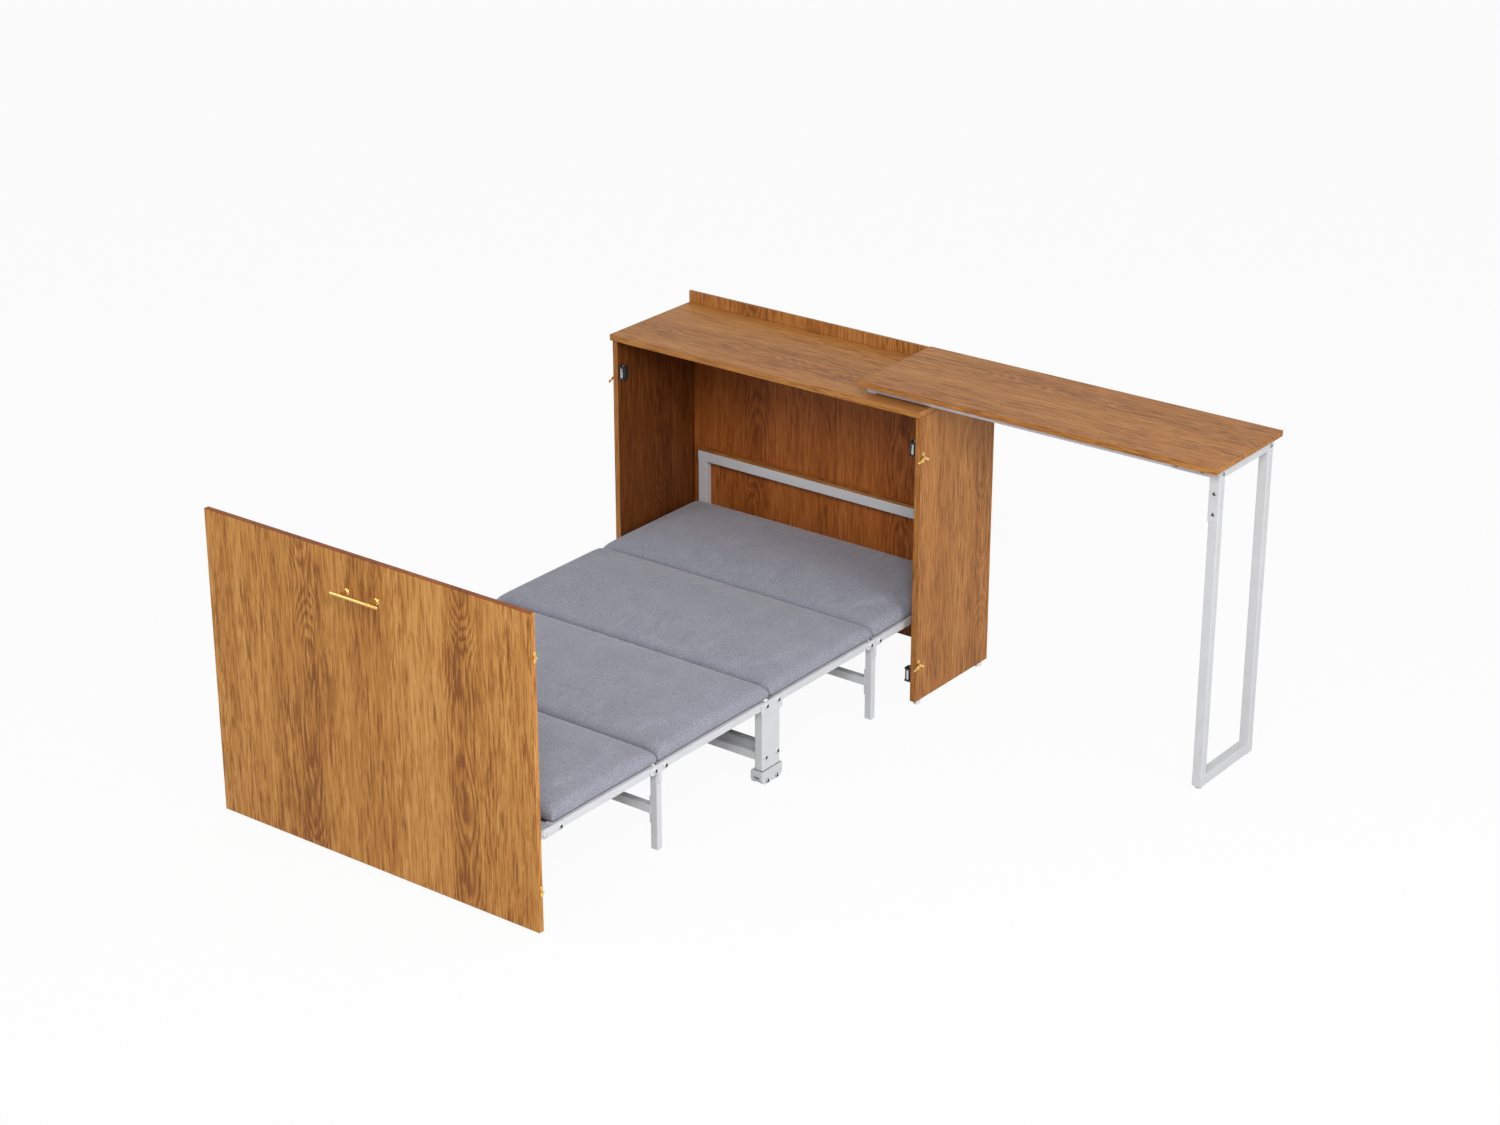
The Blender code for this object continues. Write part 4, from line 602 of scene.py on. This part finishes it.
# Radius, height and finishes of a head
BOLT = (7.8 * MM, 4.9 * MM, BED_STEEL, RECESS_PAINTED_SHADE)
AXLE_HEAD = (6.6 * MM, 3.4 * MM, ZINC, RECESS_PAINTED_SHADE)
for side_name, side in SIDES:
    face_x = CENTRE_X + side * PLATE_FACE
    for body, turns in PIVOTS.items():
        places = [(face_x, *JOINTS[turn_name]["pos_m"][1:]) for turn_name in turns]
        made = fastened(f"pivot_bolts_{body}_{side_name}", body, button_bolt, places, (side, 0, 0), *BOLT)
    foot = JOINTS["front_turn"]["pos_m"]
    places = [(face_x, foot[1] + FOOT_BOLT_DISTANCE, foot[2])]
    made = fastened(f"foot_bolt_{side_name}", "section_4", button_bolt, places, (side, 0, 0), *BOLT)
    places = []
    for bar in ("front", "rear"):
        low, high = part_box("middle_bar_" + bar)
        places.append((CENTRE_X + side * RAIL_FACE, (low.y + high.y) / 2, (low.z + high.z) / 2))
    made = fastened(f"middle_bar_bolts_{side_name}", "middle_knee", button_bolt, places, (side, 0, 0), *BOLT)
    low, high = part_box("caster_housing_" + side_name)
    face_x = high.x if side > 0 else low.x
    places = [(face_x, *JOINTS[f"caster_{side_name}_{n}_spin"]["pos_m"][1:]) for n in (1, 2)]
    made = fastened(f"axle_heads_{side_name}", "middle_knee", button_bolt, places, (side, 0, 0), *AXLE_HEAD)

# Desk bolts: two ringed heads down the leg, two dark ones under the top, two on the outer face

LEG_BOLT = (5.4 * MM, 2.6 * MM, ZINC, RECESS_PAINTED_SHADE)
BAR_BOLT = (5.2 * MM, 2.4 * MM, BLACK_NYLON, RECESS_PAINTED_SHADE)
END_BOLT = (5.4 * MM, 2.4 * MM, ZINC, RECESS_PAINTED_SHADE)
LEG_BOLT_DROPS = (65, 120)
BAR_BOLT_REACHES = (36.9, 111.7)
END_BOLT_INSET = 14 * MM
loop_low, loop_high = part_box("desk_leg_loop")
bracket_face = loop_low.y + 1.6 * MM
leg_x = loop_high.x - 13.7 * MM
bar_z = loop_high.z - 13.2 * MM
places = [(leg_x, bracket_face, loop_high.z - drop * MM) for drop in LEG_BOLT_DROPS]
made = fastened("desk_leg_bolts", "desk", button_bolt, places, (0, -1, 0), *LEG_BOLT)
places = [(leg_x - reach * MM, bracket_face, bar_z) for reach in BAR_BOLT_REACHES]
made = fastened("desk_bar_bolts", "desk", button_bolt, places, (0, -1, 0), *BAR_BOLT)
places = [(loop_high.x, y, bar_z) for y in (bracket_face + END_BOLT_INSET, loop_high.y - END_BOLT_INSET)]
made = fastened("desk_end_bolts", "desk", button_bolt, places, (1, 0, 0), *END_BOLT)

# Brass screws of the hook plates and keepers, and the catches' chromed rollers

SCREW_OFFSET = 9.5 * MM
PLATE_TOP = 6.1 * MM
PLATE_SCREW = (3.0 * MM, 0.7 * MM, BRASS, RECESS_PAINTED_SHADE)
CATCH_SCREW = (3.2 * MM, 1.4 * MM, ZINC, RECESS_PAINTED_SHADE)
CATCH_SCREW_DEPTH = 13 * MM
ROLLER_DEPTH = 4 * MM
ROLLER_END = 5.5 * MM
# The roller's turned outline: share of its length and radius in millimetres
ROLLER = [(0, 0), (0, 3.4), (0.03, 4.4), (0.10, 4.5), (0.14, 4.25), (0.5, 4.2)]
ROLLER += [(0.86, 4.25), (0.90, 4.5), (0.97, 4.4), (1, 3.4), (1, 0)]
for side_name, side in SIDES:
    for level in LEVELS:
        for start, body in (("hook_plate", "cabinet"), ("keeper", "front")):
            low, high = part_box(f"{start}_{side_name}_{level}")
            top_x = high.x - PLATE_TOP if side > 0 else low.x + PLATE_TOP
            middle_y = (low.y + high.y) / 2
            middle_z = (low.z + high.z) / 2
            places = [(top_x, middle_y, middle_z + end * SCREW_OFFSET) for end in (-1, 1)]
            name = f"{start}_screws_{side_name}_{level}"
            made = fastened(name, body, screw, places, (side, 0, 0), *PLATE_SCREW)
        low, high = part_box(f"catch_{side_name}_{level}")
        middle_x = (low.x + high.x) / 2
        mesh = bmesh.new()
        length = high.z - low.z - 2 * ROLLER_END
        profile = [(share * length, radius * MM) for share, radius in ROLLER]
        lathe(mesh, (middle_x, low.y + ROLLER_DEPTH, low.z + ROLLER_END), (0, 0, 1), profile)
        made = piece(f"catch_roller_{side_name}_{level}", mesh, "cabinet", CHROME)
        places = [(middle_x, low.y + CATCH_SCREW_DEPTH, high.z)]
        made = fastened(f"catch_screw_{side_name}_{level}", "cabinet", screw, places, (0, 0, 1), *CATCH_SCREW)

# Dark bands between the middle legs and their casters: painted shadow where each leg meets its caster housing


def rounded_ring(mesh, low, high, radius, levels):
    """Stacked rounded rectangles as (height, outset) pairs, closed at both ends."""
    rows = []
    for z, outset in levels:
        row = []
        for corner in range(4):
            x = high.x + outset - radius if corner in (0, 3) else low.x - outset + radius
            y = high.y + outset - radius if corner in (0, 1) else low.y - outset + radius
            for step in range(5):
                angle = (corner + step / 4) * math.pi / 2
                row.append(mesh.verts.new((x + radius * math.cos(angle), y + radius * math.sin(angle), z)))
        rows.append(row)
    count = len(rows[0])
    for near, far in zip(rows, rows[1:]):
        for i in range(count):
            j = (i + 1) % count
            mesh.faces.new((near[i], near[j], far[j], far[i]))
    mesh.faces.new(rows[0])
    mesh.faces.new(rows[-1])


SHADOW_BAND_THICKNESS = 25 * MM
SHADOW_BAND_INSET = 7.3 * MM
SHADOW_BAND_CORNER = 2.4 * MM
# The dark band's edge: height above the leg's foot and how far it stands out, in millimetres
SHADOW_BAND_EDGE = ((-0.2, 0.1), (0, 0.6), (1.2, 0.6), (1.5, 0.1))
for side_name, side in SIDES:
    low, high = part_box("middle_leg_" + side_name)
    faces_x = sorted((CENTRE_X + side * (RAIL_FACE - SHADOW_BAND_THICKNESS), CENTRE_X + side * RAIL_FACE))
    low.x, high.x = faces_x
    low.y, high.y = low.y + SHADOW_BAND_INSET, high.y - SHADOW_BAND_INSET
    mesh = bmesh.new()
    levels = [(low.z + height * MM, outset * MM) for height, outset in SHADOW_BAND_EDGE]
    rounded_ring(mesh, low, high, SHADOW_BAND_CORNER, levels)
    # A dark ring of painted shadow round the leg's foot
    made = piece(f"caster_gasket_{side_name}", mesh, "middle_knee", BLACK_NYLON)

# Pull handle: a round bar with domed ends on two posts with turned roses

HANDLE_RADIUS = 4 * MM
HANDLE_STEPS = 32
POST_OFFSET = 48 * MM
# The rose's outline from the panel outwards: distance and radius in millimetres
ROSE = [(0, 8.5), (1.2, 8.5), (1.9, 8.2), (2.4, 7.6), (2.8, 6.4)]
ROSE += [(3.4, 5.6), (4.4, 5.0), (6.0, 4.5), (12, 4.2), (18, 4.2)]
# The post's collar round the bar: distance from the bar's axis and radius in millimetres
COLLAR = ((-4.5, 4.4), (-2.5, 5.0), (0, 5.2), (2.5, 4.6), (4.0, 3.0), (4.1, 0))
COLLAR_TOP = 3.9 * MM


def make_handle():
    low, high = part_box("pull_handle")
    middle_x, middle_z = (low.x + high.x) / 2, (low.z + high.z) / 2
    half, radius = (high.x - low.x) / 2, HANDLE_RADIUS
    bar_y = low.y + radius
    mesh = bmesh.new()
    profile = [(-half, 0)]
    for step in range(1, 5):
        turn = step / 4 * math.pi / 2
        profile.append((-half + radius * 0.7 * (1 - math.cos(turn)), radius * math.sin(turn)))
    profile += [(-along, size) for along, size in reversed(profile)]
    lathe(mesh, (middle_x, bar_y, middle_z), (1, 0, 0), profile, steps=HANDLE_STEPS)
    depth = high.y - bar_y
    for side in (-1, 1):
        centre = (middle_x + side * POST_OFFSET, high.y, middle_z)
        profile = [(0, 0)] + [(along * MM, size * MM) for along, size in ROSE]
        profile += [(depth + along * MM, size * MM) for along, size in COLLAR]
        profile = [(min(along, depth + COLLAR_TOP), size) for along, size in profile]
        lathe(mesh, centre, (0, -1, 0), profile, steps=HANDLE_STEPS)
    made = piece("pull_handle_turned", mesh, "front", BRASS)
    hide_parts("pull_handle")


make_handle()

# Cushions

CORNER = 22 * MM
MARGIN = 0.2 * MM
# Heights of the sides, as shares of the pad's, between which the hold of the glue lessens to nothing
GLUED, FREE = 0.40, 0.85
LAST_FRAME = 20


def settled(pad):
    """Makes a pad's modifiers part of its mesh."""
    data = bpy.data.meshes.new_from_object(pad.evaluated_get(bpy.context.evaluated_depsgraph_get()))
    pad.modifiers.clear()
    pad.vertex_groups.clear()
    pad.data = data
    return data


def remeshed(node_name, voxel, shrink, squeeze):
    """A copy of a pad's solid with even faces, shrunk at the sides and squeezed to a share of its height."""
    low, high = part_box(node_name)
    middle = (low + high) / 2
    data = NODES[node_name].data.copy()
    for vertex in data.vertices:
        spot = vertex.co
        for axis in (0, 1):
            share = (spot[axis] - middle[axis]) / (high[axis] - middle[axis])
            spot[axis] -= shrink * share
        spot.z = low.z + (spot.z - low.z) * squeeze
    pad = bpy.data.objects.new(node_name + "_soft", data)
    bpy.context.scene.collection.objects.link(pad)
    remesh = pad.modifiers.new("remesh", "REMESH")
    remesh.mode, remesh.voxel_size = "VOXEL", voxel
    settled(pad)
    return pad


def round_crown(pad, low, high, squeeze, rounding):
    """Rounds the crown in full, and the foot hardly at all."""
    crown = pad.vertex_groups.new(name="crown")
    for vertex in pad.data.vertices:
        share = (vertex.co.z - low.z) / (high.z - low.z) / squeeze
        crown.add([vertex.index], min(max(share * 2.5 - 0.6, 0.12), 1), "REPLACE")
    smooth = pad.modifiers.new("smooth", "SMOOTH")
    smooth.factor, smooth.iterations, smooth.vertex_group = 0.5, rounding, "crown"
    settled(pad)


def blow_up(pad, low, high, squeeze, pressure, most):
    """Blows the pad up as cloth, with the lower part of its sides glued to the board."""
    data = pad.data
    before = [vertex.co.copy() for vertex in data.vertices]
    held = [low.z + (high.z - low.z) * squeeze * share for share in (GLUED, FREE)]
    base = pad.vertex_groups.new(name="base")
    for i, spot in enumerate(before):
        base.add([i], min(max((held[1] - spot.z) / (held[1] - held[0]), 0), 1), "REPLACE")
    cloth = pad.modifiers.new("cloth", "CLOTH")
    cloth.settings.quality = 4
    cloth.settings.mass = 0.3
    cloth.settings.tension_stiffness = cloth.settings.compression_stiffness = 12
    cloth.settings.shear_stiffness = 6
    cloth.settings.bending_stiffness = 1.2
    cloth.settings.use_pressure = True
    cloth.settings.uniform_pressure_force = pressure
    cloth.settings.effector_weights.gravity = 0
    cloth.settings.vertex_group_mass = "base"
    cloth.settings.shrink_min = -0.008
    for moment in range(1, LAST_FRAME + 1):
        bpy.context.scene.frame_set(moment)
    graph = bpy.context.evaluated_depsgraph_get()
    after = [vertex.co.copy() for vertex in pad.evaluated_get(graph).data.vertices]
    pad.modifiers.clear()
    pad.vertex_groups.clear()
    bpy.context.scene.frame_set(1)
    for vertex, old, new in zip(data.vertices, before, after):
        move = new - old
        if move.length > most:
            move *= most / move.length
        vertex.co = old + move
    eased = pad.modifiers.new("eased", "SMOOTH")
    eased.factor, eased.iterations = 0.5, 6
    settled(pad)


def fit_space(pad, low, high):
    """Holds the pad inside the space of its solid, with corners that are square at the foot.

    Neighbouring pads press together at their feet, so the corners are square up to a quarter of the height,
    and as round as before above three quarters.
    """
    middle = (low + high) / 2
    for vertex in pad.data.vertices:
        spot = vertex.co
        beyond = [abs(spot[axis] - middle[axis]) - (high[axis] - middle[axis] - CORNER) for axis in (0, 1)]
        if min(beyond) > 0:
            foot = min(max(1.5 - (spot.z - low.z) / (high.z - low.z) * 2, 0), 1)
            stretch = 1 + (math.hypot(*beyond) / max(beyond) - 1) * foot
            for axis in (0, 1):
                spot[axis] += math.copysign(beyond[axis] * (stretch - 1), spot[axis] - middle[axis])
        for axis in (0, 1):
            spot[axis] = min(max(spot[axis], low[axis] + MARGIN), high[axis] - MARGIN)
        spot.z = max(spot.z, low.z)


def swollen(node_name, body, fabric, voxel, rounding, shrink, squeeze, pressure, most):
    """A padded piece, blown up from its solid and held inside that solid's space.

    Rounding is the number of smoothing steps before the cloth, squeeze the share of the height that it starts
    with, and most the longest way that a point may move.
    """
    low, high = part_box(node_name)
    pad = remeshed(node_name, voxel, shrink, squeeze)
    round_crown(pad, low, high, squeeze, rounding)
    blow_up(pad, low, high, squeeze, pressure, most)
    fit_space(pad, low, high)
    finer = pad.modifiers.new("finer", "SUBSURF")
    finer.levels = finer.render_levels = 1
    data = settled(pad)
    data.materials.clear()
    data.materials.append(fabric)
    data.shade_smooth()
    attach(pad, body)
    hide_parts(node_name)
    return pad


THREAD_RADIUS = 0.9 * MM
THREAD_SIDES = 6
SEAM_HEIGHT = 5 * MM


def outline(data, height):
    """The points of a closed mesh's outline at a height, in order."""
    mesh = bmesh.new()
    mesh.from_mesh(data)
    everything = mesh.verts[:] + mesh.edges[:] + mesh.faces[:]
    made = bmesh.ops.bisect_plane(mesh, geom=everything, plane_co=(0, 0, height), plane_no=(0, 0, 1))
    edges = [item for item in made["geom_cut"] if isinstance(item, bmesh.types.BMEdge)]
    ends = {}
    for edge in edges:
        for vertex in edge.verts:
            ends.setdefault(vertex, []).append(edge.other_vert(vertex))
    first = next(iter(ends))
    path, last, here = [first.co.copy()], None, first
    while True:
        onward = [vertex for vertex in ends[here] if vertex is not last]
        last, here = here, onward[0]
        if here is first:
            break
        path.append(here.co.copy())
    mesh.free()
    return path


def seam(pad, height, body):
    """The closing seam round a cushion's foot: its outline at a height, as a thin thread."""
    # Every third point of the outline is enough for a thread.
    path = outline(pad.data, height)[::3]
    thread, rows, up = bmesh.new(), [], Vector((0, 0, 1))
    for i, spot in enumerate(path):
        ahead = (path[(i + 1) % len(path)] - path[i - 1]).normalized()
        outward = ahead.cross(up)
        row = []
        for step in range(THREAD_SIDES):
            angle = step * 2 * math.pi / THREAD_SIDES
            away = math.cos(angle) * outward + math.sin(angle) * up
            row.append(thread.verts.new(spot + THREAD_RADIUS * away))
        rows.append(row)
    for i, near in enumerate(rows):
        far = rows[(i + 1) % len(rows)]
        for step in range(THREAD_SIDES):
            following = (step + 1) % THREAD_SIDES
            thread.faces.new((near[step], near[following], far[following], far[step]))
    made = piece(pad.name + "_seam", thread, body, SHADED_SEAM_THREAD)
    return made


# Real cushions press flat as the bed folds; here cushions 1 to 3, listed with the joints they fold at, only
# get meshes of their own, seams too. The fourth has room behind the front panel, and keeps its thickness.
SQUASHED = {1: "bed_fold", 2: "section_2_turn", 3: "section_3_turn"}
# Voxel, rounding, shrink, squeeze, pressure and most, as swollen() takes them
CUSHION_RECIPE = (6 * MM, 9, 0.6 * MM, 0.92, 3.0, 8 * MM)
FOOT_RECIPE = (5 * MM, 2, 0.5 * MM, 0.9, 2.5, 2.5 * MM)
for number in (1, 2, 3, 4):
    body = f"section_{number}"
    pad = swollen(f"cushion_{number}", body, SEAM_SHADED_CLOTH, *CUSHION_RECIPE)
    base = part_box(f"cushion_{number}")[0]
    thread = seam(pad, base.z + SEAM_HEIGHT, body)
    if number in SQUASHED:
        for soft in (pad, thread):
            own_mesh(soft)
pad = swollen("foot_pad", "front", CLOTH, *FOOT_RECIPE)

# Stage: a pale floor, a world that is white to the camera, and soft lamps

FLOOR_HALF = 14
FLOOR_DROP = 0.4 * MM
# How much of its own white the floor shows to the camera, which leaves the rest to light and shadow
FLOOR_GLOW = 0.95
# The world's light on the part. The camera and reflections see it at full white.
WORLD_LEVEL = 0.36
AIM = Vector((0, 0, 0.4))
# Name, place, size and power
LAMPS = (
    ("key_lamp", (3.2, -3.9, 4.4), 2.4, 215),
    ("side_lamp", (5.2, -0.8, 2.2), 2.6, 110),
    ("fill_lamp", (-3.8, -3.6, 2.6), 3.0, 40),
    ("top_lamp", (0.4, 0.2, 5.4), 4.0, 25),
)


def unlit_ray(tree):
    """1 for rays from the camera or through reflections and glass, 0 for light."""
    ray = add(tree, "LightPath").outputs
    direct = (ray["Is Camera Ray"], ray["Is Glossy Ray"])
    seen = maths(tree, "MAXIMUM", direct[0], direct[1])
    return maths(tree, "MAXIMUM", seen, ray["Is Transmission Ray"])


def make_floor():
    mesh = bmesh.new()
    bmesh.ops.create_grid(mesh, x_segments=1, y_segments=1, size=FLOOR_HALF)
    data = bpy.data.meshes.new("floor")
    mesh.to_mesh(data)
    mesh.free()
    floor = bpy.data.objects.new("floor", data)
    middle_x, middle_y = (CAD_LOW.x + CAD_HIGH.x) / 2, (CAD_LOW.y + CAD_HIGH.y) / 2
    floor.location = (middle_x, middle_y, CAD_LOW.z - FLOOR_DROP)
    bpy.context.scene.collection.objects.link(floor)
    material = bpy.data.materials.new("painted_floor_white")
    material.use_nodes = True
    tree = material.node_tree
    skin = tree.nodes["Principled BSDF"]
    skin.inputs["Base Color"].default_value = srgb("DCDCDC")
    skin.inputs["Roughness"].default_value = 0.9
    skin.inputs["Specular IOR Level"].default_value = 0.1
    glow = add(tree, "Emission", Color=(1, 1, 1, 1), Strength=1.0)
    share = maths(tree, "MULTIPLY", unlit_ray(tree), FLOOR_GLOW)
    blend = add(tree, "MixShader", at_0=share, at_1=skin.outputs[0], at_2=glow.outputs[0])
    tree.links.new(blend.outputs[0], tree.nodes["Material Output"].inputs["Surface"])
    data.materials.append(material)
    floor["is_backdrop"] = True


def make_world():
    world = bpy.data.worlds.new("studio")
    world.use_nodes = True
    bpy.context.scene.world = world
    tree = world.node_tree
    back = tree.nodes["Background"]
    level = mapped(tree, unlit_ray(tree), to_low=WORLD_LEVEL, to_high=1.0)
    back.inputs["Color"].default_value = (1, 1, 1, 1)
    tree.links.new(level, back.inputs["Strength"])


def make_lamps():
    for name, place, size, power in LAMPS:
        data = bpy.data.lights.new(name, "AREA")
        data.shape, data.size, data.energy = "DISK", size, power
        lamp = bpy.data.objects.new(name, data)
        lamp.location = place
        aim = AIM - Vector(place)
        lamp.rotation_mode = "QUATERNION"
        lamp.rotation_quaternion = aim.to_track_quat("-Z", "Y")
        bpy.context.scene.collection.objects.link(lamp)


make_floor()
make_world()
make_lamps()
bpy.context.scene.view_settings.view_transform = "Standard"

low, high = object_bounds()
